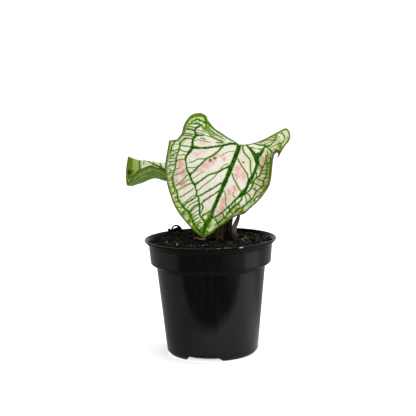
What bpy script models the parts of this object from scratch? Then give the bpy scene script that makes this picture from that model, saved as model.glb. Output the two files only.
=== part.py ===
"""A young caladium in its nursery pot: two leaves, a rolled shoot and their tuber in peat soil.

The origin is on the pot's axis at the surface that it stands on, with +Z up and -Y towards the viewer.
"""

import math

import bmesh
import bpy
import numpy as np
from mathutils import Matrix, Vector, noise
from mathutils.geometry import delaunay_2d_cdt

MM = 0.001
GAP = 0.3 * MM

# Pot
POT_HEIGHT = 95 * MM
LIP_RADIUS = 54 * MM
LIP_EDGE = 0.8 * MM
COLLAR_TOP_Z = 90.6 * MM
COLLAR_TOP_RADIUS = 50.5 * MM
COLLAR_FOOT_Z = 75.8 * MM
COLLAR_FOOT_RADIUS = 49.3 * MM
SHOULDER_Z = 72.3 * MM
BODY_TOP_RADIUS = 44.5 * MM
BODY_FOOT_RADIUS = 37.4 * MM
FOOT_ROUNDING = 2.6 * MM
FOOT_RING = 1.6 * MM
WALL = 1.2 * MM
FLOOR_UNDERSIDE_Z = 6.2 * MM
CENTRE_PAD_RADIUS = 9 * MM
CENTRE_PAD_SLOPE = 2.5 * MM
POT_STEPS = 72
NOTCH_COUNT = 3
NOTCH_FIRST_DEG = -10.5
NOTCH_HEIGHT = 5.4 * MM
NOTCH_WIDTH_LOW = 29 * MM
NOTCH_WIDTH_HIGH = 18.7 * MM
NOTCH_DEPTH = 22 * MM
NOTCH_OVERSHOOT = 7 * MM
DRAIN_COUNT = 6
DRAIN_RADIUS = 3.2 * MM
DRAIN_CIRCLE = 22 * MM

# Soil
SOIL_EDGE_Z = 91.2 * MM
SOIL_CROWN = 0.8 * MM
SOIL_LUMP = 1.5 * MM
SOIL_LUMP_SIZE = 7 * MM
HEAP_CENTRE = Vector((-0.031, 0.040, 0))
HEAP_RADIUS = 19 * MM
HEAP_HEIGHT = 6.8 * MM
SOIL_SPACING = 3.4 * MM
SOIL_RIM_POINTS = 72

# Tuber
TUBER_CENTRE = Vector((0.0135, 0.0045, 0.0640))
TUBER_RADIUS = 16 * MM
TUBER_HALF_HEIGHT = 11.5 * MM
TUBER_KNOB = 0.7 * MM

# Viewer's place, from which the front blade is drawn
VIEW_AIM = Vector((-0.0014, 0, 0.1196))
VIEW_DISTANCE = 1.0
VIEW_TILT = math.radians(8.13)
VIEW_ROLL = math.radians(-1.26)

# Blades
BLADE_THICKNESS = 0.7 * MM
BLADE_SPACING = 3.6 * MM
MARGIN_SPACING = 2.6 * MM
MARGIN_WAVE = 0.9 * MM
MARGIN_WAVE_DEPTH = 9 * MM
MARGIN_WAVES = 17
RIB_SPACING = 3.2 * MM
CLOSEST_POINTS = 1.1 * MM

# The front blade's edge in mm on the drawing plane, right and up of the aim, in runs that meet at corners
FRONT_MARGIN = (
    ((25.5, 52), (22, 54.7), (16, 58), (11.4, 61.3), (6.5, 64.3), (2.5, 68.5), (-0.5, 72.5)),
    ((-0.5, 72.5), (-1, 74.7), (-4, 77), (-8, 77.6), (-13.5, 76), (-17.5, 71.5),
     (-20, 66.5), (-21.5, 61), (-25, 56)),
    ((-25, 56), (-31.5, 55)),
    ((-31.5, 55), (-32.5, 49.5), (-34, 41.5), (-35, 33), (-34, 23.5), (-32.2, 15.5),
     (-28.8, 5), (-23.6, -4.5), (-16.8, -13), (-10, -20), (-3.5, -25)),
    ((-3.5, -25), (2.5, -21), (8.5, -16), (14, -12.6), (19.6, -8.4), (24.8, -6.2), (29.8, -4.6),
     (34.7, -0.2), (42.7, 7.3), (49.2, 16.5), (51.3, 22.5), (52.2, 30), (53, 38), (54.2, 43.5),
     (55.7, 46)),
    ((55.7, 46), (57.5, 45.3), (58.2, 42.7)),
    ((58.2, 42.7), (60.2, 46.5), (63.2, 51), (66.6, 55.5), (67.2, 60), (65.4, 64.2), (62.5, 65),
     (58.5, 63), (52, 59.5), (45, 56), (37.5, 53.2), (30.5, 52), (25.5, 52)),
)

# Right, up and depth in mm of points that the front blade's surface passes through
FRONT_DEPTHS = (
    (25.5, 51, 8), (20.5, 38.5, 0), (15, 24, -8), (10, 12, -13), (4, -2, -17), (0, -12, -19),
    (-3.5, -25, -19),
    (13, 51.5, 7), (3, 49.5, 5), (-8, 49, 4), (-13, 49, 4),
    (-10, 62, 7), (-8, 72, 12), (-8, 77.5, 17), (-1, 74.5, 18), (2, 68, 14), (8, 62.5, 12),
    (16, 58, 10), (-17.5, 71, 13), (-21, 61, 14), (-25, 56, 12),
    (-31.5, 55, 0), (-32.5, 49, -2), (-27, 50, 3), (-34.5, 40, 0), (-35, 33, 3), (-34, 23.5, 6),
    (-31.5, 14, 5), (-28, 4, 1), (-23, -5, -5), (-16, -13, -11), (-9.5, -20, -16),
    (-18, 40, 1), (-17, 28, 0), (-10, 20, -5), (-7, 8, -10), (-5, -4, -15), (5, 37, -2),
    (33, 51, 9), (37, 44, 6), (41, 40, 7), (40, 32, 3), (36, 25, -2), (30, 15, -7),
    (23, 5, -12), (12, -3, -16), (28, 33, -1),
    (45, 43.5, 12), (47, 34, 12), (45, 25, 6), (40, 15, 1), (33, 5, -5), (25, -1, -10),
    (54, 43.5, 25), (52.5, 38, 24), (51.5, 30, 22), (50, 22, 17), (48, 16.5, 13), (42, 7.5, 6),
    (34.5, 0, 1), (29.5, -4, -2), (24, -5.5, -6), (19, -7.5, -10), (13.5, -12, -14),
    (8.5, -16, -17), (2.5, -21, -19),
    (37.5, 53, 22), (45, 56, 33), (52, 59.5, 42), (58.5, 63, 48), (62.5, 65, 50),
    (67, 60, 45), (66.3, 55.5, 40), (63, 51, 34), (60, 46.5, 29), (58, 43, 25),
    (48, 50.5, 21), (54, 54, 29), (58.5, 58, 37),
)

# Raised ribs on the underside of the front blade: height and width at the start, then points
FRONT_RIBS = (
    (1.5, 3.2, ((25, 50.5), (22.5, 43.5), (18.5, 34), (15, 23.5), (10.5, 13), (6.5, 4),
                (3.5, -3.5), (-1, -14))),
    (0.9, 2.2, ((23, 51.5), (12.5, 51), (3, 49.5), (-6.5, 49), (-13, 49), (-17, 45),
                (-18.5, 40), (-17.5, 35), (-15, 28.5), (-11, 21.5), (-8, 10.5), (-5.5, 0))),
    (0.8, 2.0, ((-13, 49), (-11.5, 54), (-10, 60), (-9, 65.5))),
    (1.1, 2.6, ((27, 51), (33, 50), (38.5, 45.5), (41.5, 41), (40.5, 35), (37.5, 27.5),
                (32.5, 20.5), (28.5, 12), (24, 6), (17, 0.5), (8.5, -5.5))),
    (0.7, 2.0, ((41.5, 41), (45, 48.5), (48, 50.5), (55, 55.5))),
    (0.5, 1.8, ((18.5, 34), (9, 30), (1, 25.5), (-8, 20))),
    (0.5, 1.8, ((12.5, 51), (3, 43.5), (-7.5, 34.5), (-14.5, 28.5))),
)
FRONT_JOINT = (24.6, 49)

# The second blade's edge in mm, in plan
BACK_MARGIN = (
    ((-64.5, 23.5), (-59, 22.5), (-53.5, 22), (-48.5, 22), (-44, 22), (-39.5, 22.5), (-30, 23),
     (-19.5, 24), (-8.5, 25.5), (0, 28), (5, 31.5), (6.5, 35), (3, 37), (-4, 37.5)),
    ((-4, 37.5), (1, 40), (6, 44), (8, 50), (5, 57), (-3, 62), (-14, 66), (-28, 69),
     (-42, 69), (-55, 65), (-63, 60), (-68.5, 54.5)),
    ((-68.5, 54.5), (-69.5, 47), (-70, 37.5), (-69, 30)),
    ((-69, 30), (-67.5, 26), (-64.5, 23.5)),
)

# Right, back and height in mm of points that the second blade's surface passes through
BACK_HEIGHTS = (
    (-64.5, 23.5, 143), (-59, 22.5, 149), (-53.5, 22, 152), (-48.5, 22, 153), (-44, 22, 152),
    (-39.5, 22.5, 150.5), (-36.5, 22.5, 149), (-30, 23, 146.5), (-19.5, 24, 145.5),
    (-8.5, 25.5, 148), (0, 28, 150), (6, 33, 149),
    (-68.5, 29, 136), (-65, 28.5, 136), (-59.5, 28, 138.3), (-54, 28, 140.6),
    (-49, 27.5, 143), (-43.5, 27.5, 143.6), (-38.5, 27.5, 141.6), (-30.5, 29, 139),
    (-19.5, 31, 140), (-11, 34, 143.5), (-5, 37, 146.5),
    (-69.5, 37.5, 143), (-69, 47, 153), (-68, 54, 157.5),
    (-64, 53.5, 156), (-55, 51.5, 154.5), (-41, 49, 152.5), (-30.5, 48, 151.5),
    (-19.5, 47, 151.5), (-9.5, 45, 150.5), (3, 43, 149.5),
    (-55, 40, 148.5), (-42, 39, 147), (-28, 39, 146), (-16, 39, 146.5),
    (-62, 60, 151), (-55, 65, 145), (-42, 69, 141), (-28, 69, 139), (-14, 66, 139),
    (-3, 62, 141), (5, 57, 144), (8, 50, 147),
)
BACK_RIBS = (
    (1.3, 3.0, ((-6, 38.5), (-16, 39), (-28, 40), (-38, 41), (-47, 45.5), (-56, 50.5), (-63, 53))),
    (0.7, 2.0, ((-7, 37.5), (-15, 33), (-25, 30), (-35, 27.5))),
    (0.8, 2.0, ((-7, 40), (-12, 50), (-22, 58), (-34, 62), (-46, 62))),
    (0.6, 1.8, ((-5, 38), (2, 45), (1, 52))),
)
BACK_JOINT = (-6.5, 38.6)

# Stems: points in mm from the soil up, and the radius at the foot and the top or at each point
FRONT_PETIOLE = ((14.3, 4, 91), (15.2, 5.5, 103), (18, 9.6, 120), (20.8, 13.6, 136), (23, 16.4, 149),
                 (24.2, 16.2, 159))
FRONT_PETIOLE_RADII = (2.4, 1.5)
BACK_PETIOLE = ((12, 9.6, 91), (12.2, 12.2, 103), (9.8, 17.5, 115), (5, 25, 127), (-1, 32.5, 137))
BACK_PETIOLE_RADII = (2.2, 1.35)
JOINT_DEPTH = 0.8
SHOOT = ((19.4, 4.4, 91), (20.4, 4.4, 98), (21.6, 4.2, 104), (23, 3.8, 109), (23.8, 3.4, 112.6))
SHOOT_RADII = (2.5, 2.5, 2.5, 2.1, 1.3, 0.45)
SHEATH = ((7.9, -0.8, 91), (8.2, 0, 96), (9, 1.6, 101), (10, 3.4, 106))
SHEATH_RADII = (2.9, 2.9, 2.75, 2.5, 1.9)
SHEATH_FOOT_DEPTH = 9 * MM
ROOT_LOOP = ((-32, 35, 92.5), (-31.6, 35.2, 98.6), (-28.6, 35.4, 100.8), (-25.8, 35.2, 99.6),
             (-24.4, 35, 93))
ROOT_LOOP_RADII = (0.7, 0.7, 0.6, 0.7, 0.7)
STEM_RINGS = 3
STEM_HOLE_GAP = 0.45 * MM


def new_material(name, colour, roughness, metallic=0.0):
    """A plain Principled material."""
    material = bpy.data.materials.new(name)
    material.use_nodes = True
    shader = material.node_tree.nodes["Principled BSDF"]
    shader.inputs["Base Color"].default_value = (*colour, 1)
    shader.inputs["Roughness"].default_value = roughness
    shader.inputs["Metallic"].default_value = metallic
    return material


def new_collection(name, cutters=False):
    """A collection in the scene. One that holds cutters isn't rendered."""
    collection = bpy.data.collections.new(name)
    bpy.context.scene.collection.children.link(collection)
    collection.hide_render = cutters
    return collection


def add_object(name, mesh, collection, material=None):
    """An object for this mesh in the collection."""
    thing = bpy.data.objects.new(name, mesh)
    collection.objects.link(thing)
    if material is not None:
        mesh.materials.clear()
        mesh.materials.append(material)
    return thing


def add_cutter(name, mesh):
    """A cutter: an object that only shapes others."""
    cutter = add_object(name, mesh, CUTTERS)
    cutter.hide_render = True
    cutter.display_type = "WIRE"
    return cutter


def cut(thing, cutter):
    """Takes the cutter's shape out of the object."""
    modifier = thing.modifiers.new("Cut " + cutter.name, "BOOLEAN")
    modifier.operation = "DIFFERENCE"
    modifier.solver = "EXACT"
    modifier.object = cutter


def shade_round(mesh, angle_deg=35):
    """Smooth shading with the true edges kept sharp."""
    mesh.shade_smooth()
    mesh.set_sharp_from_angle(angle=math.radians(angle_deg))


def mesh_from(bm, name):
    """A mesh of what the bmesh holds."""
    mesh = bpy.data.meshes.new(name)
    bm.to_mesh(mesh)
    bm.free()
    return mesh


def evaluated_mesh(thing, name):
    """The object's mesh with its modifiers or its curve worked out, welded, in world space."""
    graph = bpy.context.evaluated_depsgraph_get()
    graph.update()
    mesh = bpy.data.meshes.new_from_object(thing.evaluated_get(graph))
    mesh.name = name
    mesh.transform(thing.matrix_world)
    bm = bmesh.new()
    bm.from_mesh(mesh)
    bmesh.ops.remove_doubles(bm, verts=bm.verts, dist=0.00001)
    bm.to_mesh(mesh)
    bm.free()
    return mesh


def wall_profile():
    """Radius and height down the pot's outer side, from the lip to the foot's rounding."""
    return [
        (LIP_RADIUS, POT_HEIGHT - LIP_EDGE),
        (COLLAR_TOP_RADIUS + 1.2 * MM, COLLAR_TOP_Z + 0.9 * MM),
        (COLLAR_TOP_RADIUS, COLLAR_TOP_Z - 0.6 * MM),
        (COLLAR_FOOT_RADIUS, COLLAR_FOOT_Z),
        (COLLAR_FOOT_RADIUS - 0.5 * MM, COLLAR_FOOT_Z - 0.6 * MM),
        (BODY_TOP_RADIUS + 0.4 * MM, SHOULDER_Z + 0.2 * MM),
        (BODY_TOP_RADIUS, SHOULDER_Z - 0.4 * MM),
    ]


def inner_profile(inset):
    """Radius and height up the pot's inner side, inset from its outer side, from the floor to the lip."""
    floor_z = FLOOR_UNDERSIDE_Z + WALL
    floor_radius = BODY_FOOT_RADIUS + (BODY_TOP_RADIUS - BODY_FOOT_RADIUS) * floor_z / SHOULDER_Z
    return [
        (floor_radius - inset - 1.5 * MM, floor_z),
        (floor_radius - inset, floor_z + 1.5 * MM),
        (BODY_TOP_RADIUS - inset, SHOULDER_Z + 0.4 * MM),
        (COLLAR_FOOT_RADIUS - inset, COLLAR_FOOT_Z + 0.6 * MM),
        (COLLAR_TOP_RADIUS - inset, COLLAR_TOP_Z + 0.2 * MM),
    ]


def pot_profile():
    """The pot's closed section: down the outside, across the raised floor, and up the inside."""
    outer = [(LIP_RADIUS - 0.3 * MM, POT_HEIGHT)] + wall_profile()
    for step in range(5):
        turn = math.radians(90 * step / 4)
        outer.append((
            BODY_FOOT_RADIUS - FOOT_ROUNDING * (1 - math.cos(turn)),
            FOOT_ROUNDING * (1 - math.sin(turn)),
        ))
    ring_inside = BODY_FOOT_RADIUS - FOOT_ROUNDING - FOOT_RING
    under = [
        (ring_inside, 0),
        (ring_inside - 0.3 * MM, FLOOR_UNDERSIDE_Z),
        (CENTRE_PAD_RADIUS + CENTRE_PAD_SLOPE, FLOOR_UNDERSIDE_Z),
        (CENTRE_PAD_RADIUS, 0),
        (0, 0),
    ]
    floor = [
        (0, WALL),
        (CENTRE_PAD_RADIUS - WALL / 2, WALL),
        (CENTRE_PAD_RADIUS + CENTRE_PAD_SLOPE - WALL / 2, FLOOR_UNDERSIDE_Z + WALL),
    ]
    lip = [(LIP_RADIUS - 1.6 * MM, POT_HEIGHT)]
    return outer + under + floor + inner_profile(WALL) + lip


def turned(name, profile, collection, material=None, steps=POT_STEPS):
    """A solid turned round Z from a closed section that starts and ends its axis at radius 0."""
    bm = bmesh.new()
    points = [bm.verts.new((r, 0, z)) for r, z in profile]
    for a, b in zip(points, points[1:] + points[:1]):
        if a.co.x > 0 or b.co.x > 0:
            bm.edges.new((a, b))
    thing = add_object(name, mesh_from(bm, name), collection, material)
    screw = thing.modifiers.new("Turn", "SCREW")
    screw.axis = "Z"
    screw.steps = steps
    screw.render_steps = steps
    screw.use_merge_vertices = True
    screw.merge_threshold = 0.00001
    screw.use_normal_calculate = False
    return thing


def make_pot(collection):
    """The moulded pot, with notches through its foot ring and drain holes through its floor."""
    plastic = new_material("Black plastic", (0.012, 0.013, 0.013), 0.35)
    pot = turned("pot", pot_profile(), collection, plastic)
    bm = bmesh.new()
    for k in range(NOTCH_COUNT):
        turn = math.radians(NOTCH_FIRST_DEG + 360 * k / NOTCH_COUNT)
        made = bmesh.ops.create_cube(bm, size=1)["verts"]
        for v in made:
            width = NOTCH_WIDTH_HIGH if v.co.z > 0 else NOTCH_WIDTH_LOW
            v.co.x *= width
            v.co.y = -BODY_FOOT_RADIUS - NOTCH_OVERSHOOT + (v.co.y + 0.5) * NOTCH_DEPTH
            v.co.z = NOTCH_HEIGHT if v.co.z > 0 else -GAP
        bmesh.ops.rotate(bm, verts=made, matrix=Matrix.Rotation(turn, 3, "Z"))
    notches = add_cutter("foot notches", mesh_from(bm, "foot notches"))
    cut(pot, notches)
    bm = bmesh.new()
    for k in range(DRAIN_COUNT):
        turn = 2 * math.pi * (k + 0.5) / DRAIN_COUNT
        place = Vector((DRAIN_CIRCLE * math.cos(turn), DRAIN_CIRCLE * math.sin(turn),
                        FLOOR_UNDERSIDE_Z + WALL / 2))
        bmesh.ops.create_cone(bm, cap_ends=True, segments=14, radius1=DRAIN_RADIUS,
                              radius2=DRAIN_RADIUS, depth=4 * WALL, matrix=Matrix.Translation(place))
    cut(pot, add_cutter("drain holes", mesh_from(bm, "drain holes")))
    mesh = evaluated_mesh(pot, "pot")
    pot.modifiers.clear()
    pot.data = mesh
    shade_round(mesh)
    return pot


def soil_height(x, y):
    """The height of the soil's lumpy top."""
    out = min(1.0, math.hypot(x, y) / COLLAR_TOP_RADIUS)
    height = SOIL_EDGE_Z + SOIL_CROWN * (1 - out * out)
    place = Vector((x, y, 0.35)) / SOIL_LUMP_SIZE
    lumps = noise.noise(place) + 0.6 * noise.noise(place * 2.3)
    height += SOIL_LUMP * lumps * (1 - out ** 6)
    away = (Vector((x, y, 0)) - HEAP_CENTRE).length / HEAP_RADIUS
    if away < 1:
        height += HEAP_HEIGHT * (1 - away * away) ** 2
    return height


def tuber_radii(extra):
    """The tuber's half sizes, swollen by a clearance."""
    return Vector((TUBER_RADIUS + extra, TUBER_RADIUS + extra, TUBER_HALF_HEIGHT + extra))


def tuber_top(x, y):
    """The height of the tuber's smooth form above a place in plan."""
    away = (Vector((x, y)) - TUBER_CENTRE.xy).length / TUBER_RADIUS
    return TUBER_CENTRE.z + TUBER_HALF_HEIGHT * math.sqrt(max(0.0, 1 - away * away))


def tuber_mesh(name, extra, knob):
    """A flattened ball with knobs, swollen by a clearance."""
    bm = bmesh.new()
    bmesh.ops.create_icosphere(bm, subdivisions=3, radius=1)
    radii = tuber_radii(extra)
    for v in bm.verts:
        lump = 1 + knob / TUBER_RADIUS * noise.noise(v.co * 2.6)
        v.co = TUBER_CENTRE + Vector((v.co.x * radii.x, v.co.y * radii.y, v.co.z * radii.z)) * lump
    return mesh_from(bm, name)


def make_soil(collection, cutters):
    """The soil that fills the pot: a lumpy top on sides that follow the pot's inner wall and floor."""
    peat = new_material("Peat soil", (0.03, 0.02, 0.012), 0.95)
    sides = [(r, z) for r, z in reversed(inner_profile(WALL + GAP)) if z < SOIL_EDGE_Z]
    floor_radius, floor_z = sides.pop()
    cup_radius = CENTRE_PAD_RADIUS - WALL / 2 - GAP
    sides += [
        (floor_radius, floor_z + GAP),
        (cup_radius + CENTRE_PAD_SLOPE, floor_z + GAP),
        (cup_radius, WALL + GAP),
    ]
    rim_radius = COLLAR_TOP_RADIUS - WALL - GAP
    rim = [Vector((rim_radius * math.cos(t), rim_radius * math.sin(t)))
           for t in np.linspace(0, 2 * math.pi, SOIL_RIM_POINTS, endpoint=False)]
    points, faces = filled(rim, [], SOIL_SPACING)
    bm = bmesh.new()
    top = [bm.verts.new((p.x, p.y, soil_height(p.x, p.y))) for p in points]
    for face in faces:
        bm.faces.new([top[i] for i in face])
    above = top[:SOIL_RIM_POINTS]
    for r, z in sides:
        ring = [bm.verts.new((r * math.cos(t), r * math.sin(t), z))
                for t in np.linspace(0, 2 * math.pi, SOIL_RIM_POINTS, endpoint=False)]
        for k in range(SOIL_RIM_POINTS):
            n = (k + 1) % SOIL_RIM_POINTS
            bm.faces.new((above[k], ring[k], ring[n], above[n]))
        above = ring
    bm.faces.new(list(reversed(above)))
    bmesh.ops.recalc_face_normals(bm, faces=bm.faces)
    soil = add_object("soil", mesh_from(bm, "soil"), collection, peat)
    for cutter in cutters:
        cut(soil, cutter)
    mesh = evaluated_mesh(soil, "soil")
    soil.modifiers.clear()
    soil.data = mesh
    return soil


def spline_through(points, spacing, closed=False):
    """Points about this far apart on a smooth curve through these points."""
    points = [Vector(p) for p in points]
    n = len(points)
    out = []
    for i in range(n if closed else n - 1):
        if closed:
            a, b, c, d = (points[(i + k - 1) % n] for k in range(4))
        else:
            b, c = points[i], points[i + 1]
            a = points[i - 1] if i else b * 2 - c
            d = points[i + 2] if i + 2 < n else c * 2 - b
        steps = max(1, round((c - b).length / spacing))
        for k in range(steps):
            t = k / steps
            out.append(0.5 * (2 * b + (c - a) * t + (2 * a - 5 * b + 4 * c - d) * t * t
                              + (3 * b - a - 3 * c + d) * t ** 3))
    if not closed:
        out.append(points[-1])
    return out


def outline_of(runs, spacing):
    """A closed outline in metres from runs of points in mm that meet at corners."""
    outline = []
    for run in runs:
        outline += spline_through([Vector(p) * MM for p in run], spacing)[:-1]
    return outline


def inside(points, outline):
    """Which points lie inside the closed outline."""
    x, y = points[:, 0], points[:, 1]
    found = np.zeros(len(points), bool)
    for a, b in zip(outline, outline[1:] + outline[:1]):
        crosses = (a.y > y) != (b.y > y)
        at = a.x + (y - a.y) * (b.x - a.x) / (b.y - a.y if b.y != a.y else 1)
        found ^= crosses & (x < at)
    return found


def filled(outline, extra, spacing):
    """Points and triangles that fill the outline: its own points first, then the extra ones and a grid."""
    kept = [Vector(p) for p in outline]
    table = np.array([p[:] for p in kept])
    for p in extra:
        if inside(np.array([p[:]]), outline)[0] and np.hypot(*(table - p[:]).T).min() > CLOSEST_POINTS:
            kept.append(Vector(p))
            table = np.vstack([table, p[:]])
    low, high = table.min(0), table.max(0)
    row = 0
    y = low[1]
    while y < high[1]:
        shift = spacing / 2 if row % 2 else 0
        for x in np.arange(low[0] + shift, high[0], spacing):
            p = np.array((x, y))
            if np.hypot(*(table - p).T).min() > 0.72 * spacing and inside(p[None], outline)[0]:
                kept.append(Vector(p))
                table = np.vstack([table, p])
        y += spacing * math.sqrt(3) / 2
        row += 1
    ring = list(range(len(outline)))
    scale = 1 / MM
    points, _, faces, _, _, _ = delaunay_2d_cdt([p * scale for p in kept], [], [ring], 1, 1e-5)
    return [p * MM for p in points], faces


class Sheet:
    """A smooth surface through scattered points, as a thin plate bends through them."""

    def __init__(self, samples, softness=0.0):
        data = np.array(samples, float)
        self.places = data[:, :2]
        n = len(data)
        system = np.zeros((n + 3, n + 3))
        system[:n, :n] = self.kernel(self.places) + softness * np.eye(n)
        system[:n, n] = system[n, :n] = 1
        system[:n, n + 1:] = self.places
        system[n + 1:, :n] = self.places.T
        self.weights = np.linalg.solve(system, np.append(data[:, 2], (0, 0, 0)))

    def kernel(self, points):
        square = ((points[:, None] - self.places[None]) ** 2).sum(-1)
        return 0.5 * square * np.log(np.maximum(square, 1e-12))

    def __call__(self, point):
        place = np.array([point[:2]]) / MM
        bend = (self.kernel(place) @ self.weights[:-3])[0]
        return (bend + self.weights[-3] + place[0] @ self.weights[-2:]) * MM


def view_axes():
    """The viewer's right, up and forward directions."""
    forward = Vector((0, math.cos(VIEW_TILT), -math.sin(VIEW_TILT)))
    level_right = Vector((1, 0, 0))
    level_up = level_right.cross(forward)
    right = math.cos(VIEW_ROLL) * level_right + math.sin(VIEW_ROLL) * level_up
    up = math.cos(VIEW_ROLL) * level_up - math.sin(VIEW_ROLL) * level_right
    return right, up, forward


def seen_at(x, z, depth):
    """The point that the viewer sees right and up of the aim, carried back along the sight line."""
    right, up, forward = view_axes()
    eye = VIEW_AIM - VIEW_DISTANCE * forward
    on_plane = VIEW_AIM + x * right + z * up
    return eye + (on_plane - eye) * (1 + depth / VIEW_DISTANCE)


def distance_to_line(p, line):
    """How far a point is from a run of points, and how far along the run, from 0 to 1."""
    best, where = 1e9, 0.0
    for k, (a, b) in enumerate(zip(line, line[1:])):
        along = b - a
        t = max(0.0, min(1.0, (p - a).dot(along) / along.length_squared))
        away = (a + along * t - p).length
        if away < best:
            best, where = away, (k + t) / (len(line) - 1)
    return best, where


class Blade:
    """A leaf blade: its outline, its surface and its ribs, in the plane that it is drawn on."""

    def __init__(self, runs, samples, ribs, place):
        self.outline = outline_of(runs, MARGIN_SPACING)
        self.sheet = Sheet(samples)
        self.place = place
        self.ribs = [(height * MM, width * MM,
                      spline_through([Vector(p) * MM for p in points], RIB_SPACING))
                     for height, width, points in ribs]

    def at(self, point):
        """The point of the upper surface over a place in the drawing."""
        edge = self.outline + self.outline[:1]
        away, along = distance_to_line(point, edge)
        fade = max(0.0, 1 - away / MARGIN_WAVE_DEPTH) ** 2
        wave = MARGIN_WAVE * fade * math.sin(2 * math.pi * MARGIN_WAVES * along)
        return self.place(point.x, point.y, self.sheet(point) + wave)

    def normal(self, point):
        """The direction that the upper surface faces."""
        step = 0.5 * MM
        across = self.at(point + Vector((step, 0))) - self.at(point - Vector((step, 0)))
        along = self.at(point + Vector((0, step))) - self.at(point - Vector((0, step)))
        return across.cross(along).normalized()

    def thickness(self, point):
        """The blade's thickness with its ribs, which taper to their ends."""
        thick = 0.0
        for height, width, line in self.ribs:
            away, along = distance_to_line(point, line)
            taper = 1 - 0.6 * along
            inside_rib = max(0.0, 1 - away / (width / 2 * 1.02))
            thick = max(thick, height * taper * min(1.0, 2 * inside_rib))
        return BLADE_THICKNESS + thick

    def rib_points(self):
        """Points along the ribs' crests and feet."""
        points = []
        for _, width, line in self.ribs:
            for a, b in zip(line, line[1:]):
                along = (b - a).normalized()
                side = Vector((-along.y, along.x)) * width / 2
                points += [a, a + side, a - side]
        return points


def make_blade(name, blade, collection, colour):
    """The blade: a sheet given its thickness towards its underside. Returns a cutter a gap thicker."""
    material = new_material(name + " green", colour, 0.45)
    points, faces = filled(blade.outline, blade.rib_points(), BLADE_SPACING)
    bm = bmesh.new()
    verts = [bm.verts.new(blade.at(p)) for p in points]
    for face in faces:
        bm.faces.new([verts[i] for i in face])
    mesh = mesh_from(bm, name)
    mesh.shade_smooth()
    thicknesses = [blade.thickness(p) for p in points]
    thing = add_object(name, mesh, collection, material)
    thicken(thing, thicknesses)
    wider = add_cutter(name + " gap", mesh.copy())
    thicken(wider, [t + GAP for t in thicknesses])
    return wider


def thicken(thing, thicknesses):
    """Gives a sheet its own thickness at each point, towards its underside."""
    thickest = max(thicknesses)
    group = thing.vertex_groups.new(name="thickness")
    for k, thickness in enumerate(thicknesses):
        group.add([k], thickness / thickest, "REPLACE")
    solid = thing.modifiers.new("Thickness", "SOLIDIFY")
    solid.thickness = thickest
    solid.offset = -1
    solid.vertex_group = "thickness"


def stem_curve(name, points, radii):
    """A round tapering stem as a curve with closed ends."""
    data = bpy.data.curves.new(name, "CURVE")
    data.dimensions = "3D"
    data.bevel_depth = MM
    data.bevel_resolution = STEM_RINGS
    data.resolution_u = 5
    data.use_fill_caps = True
    spline = data.splines.new("BEZIER")
    spline.bezier_points.add(len(points) - 1)
    for knot, p, radius in zip(spline.bezier_points, points, radii):
        knot.co = p
        knot.radius = radius
        knot.handle_left_type = knot.handle_right_type = "AUTO"
    return bpy.data.objects.new(name, data)


def stem_mesh(name, points, radii):
    """The stem's mesh in world space."""
    curve = stem_curve(name, points, radii)
    CUTTERS.objects.link(curve)
    mesh = evaluated_mesh(curve, name)
    data = curve.data
    bpy.data.objects.remove(curve)
    bpy.data.curves.remove(data)
    return mesh


def tapered(count, radii):
    """Radii that change evenly from the first point to the last."""
    start, end = radii
    return [start + (end - start) * k / (count - 1) for k in range(count)]


def make_stem(name, points, radii, collection, colour, joint_gap=None):
    """A stem, cut clear of the blade that it carries. Returns the cutter for the hole that it stands in."""
    mesh = stem_mesh(name, points, radii)
    shade_round(mesh, 60)
    stem = add_object(name, mesh, collection, new_material(name + " skin", colour, 0.5))
    if joint_gap is not None:
        cut(stem, joint_gap)
    start = points[0] + (points[0] - points[1]).normalized() * GAP
    end = points[-1] + (points[-1] - points[-2]).normalized() * GAP
    wider = [r + STEM_HOLE_GAP / MM for r in radii]
    return add_cutter(name + " hole", stem_mesh(name + " hole", [start] + points[1:-1] + [end], wider))


def rooted(points, foot_z):
    """The stem's points in metres, with a foot added straight below the first at a height."""
    above = [Vector(p) * MM for p in points]
    return [Vector((above[0].x, above[0].y, foot_z))] + above


def on_tuber(points):
    """The stem's points in metres, with its foot just clear of the tuber's top."""
    x, y = points[0][0] * MM, points[0][1] * MM
    return rooted(points, tuber_top(x, y) + TUBER_KNOB + GAP)


def to_joint(points, blade, joint):
    """The stem's points run on to its blade's joint, where it ends just inside the underside."""
    place = Vector(joint) * MM
    return points + [blade.at(place) - blade.normal(place) * blade.thickness(place) * JOINT_DEPTH]


def make_plant(collection):
    """The blades, their petioles, the shoot, the sheath and the loop of root. Returns the hole cutters."""
    front = Blade(FRONT_MARGIN, FRONT_DEPTHS, FRONT_RIBS, seen_at)
    front_gap = make_blade("front_leaf_blade", front, collection, (0.45, 0.55, 0.3))
    back = Blade(BACK_MARGIN, BACK_HEIGHTS, BACK_RIBS, lambda x, y, z: Vector((x, y, z)))
    back_gap = make_blade("back_leaf_blade", back, collection, (0.3, 0.42, 0.16))
    purple, mauve = (0.08, 0.035, 0.035), (0.16, 0.08, 0.08)
    straw, bark = (0.3, 0.22, 0.13), (0.03, 0.02, 0.015)
    holes = []
    for name, run, radii, blade, joint, gap in (
        ("front_leaf_petiole", FRONT_PETIOLE, FRONT_PETIOLE_RADII, front, FRONT_JOINT, front_gap),
        ("back_leaf_petiole", BACK_PETIOLE, BACK_PETIOLE_RADII, back, BACK_JOINT, back_gap),
    ):
        points = to_joint(on_tuber(run), blade, joint)
        holes.append(make_stem(name, points, tapered(len(points), radii), collection, purple, gap))
    sheath = rooted(SHEATH, SOIL_EDGE_Z - SHEATH_FOOT_DEPTH)
    loop = [Vector(p) * MM for p in ROOT_LOOP]
    holes.append(make_stem("rolled_shoot", on_tuber(SHOOT), SHOOT_RADII, collection, mauve))
    holes.append(make_stem("pale_sheath", sheath, SHEATH_RADII, collection, straw))
    holes.append(make_stem("root_loop", loop, ROOT_LOOP_RADII, collection, bark))
    return holes


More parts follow.
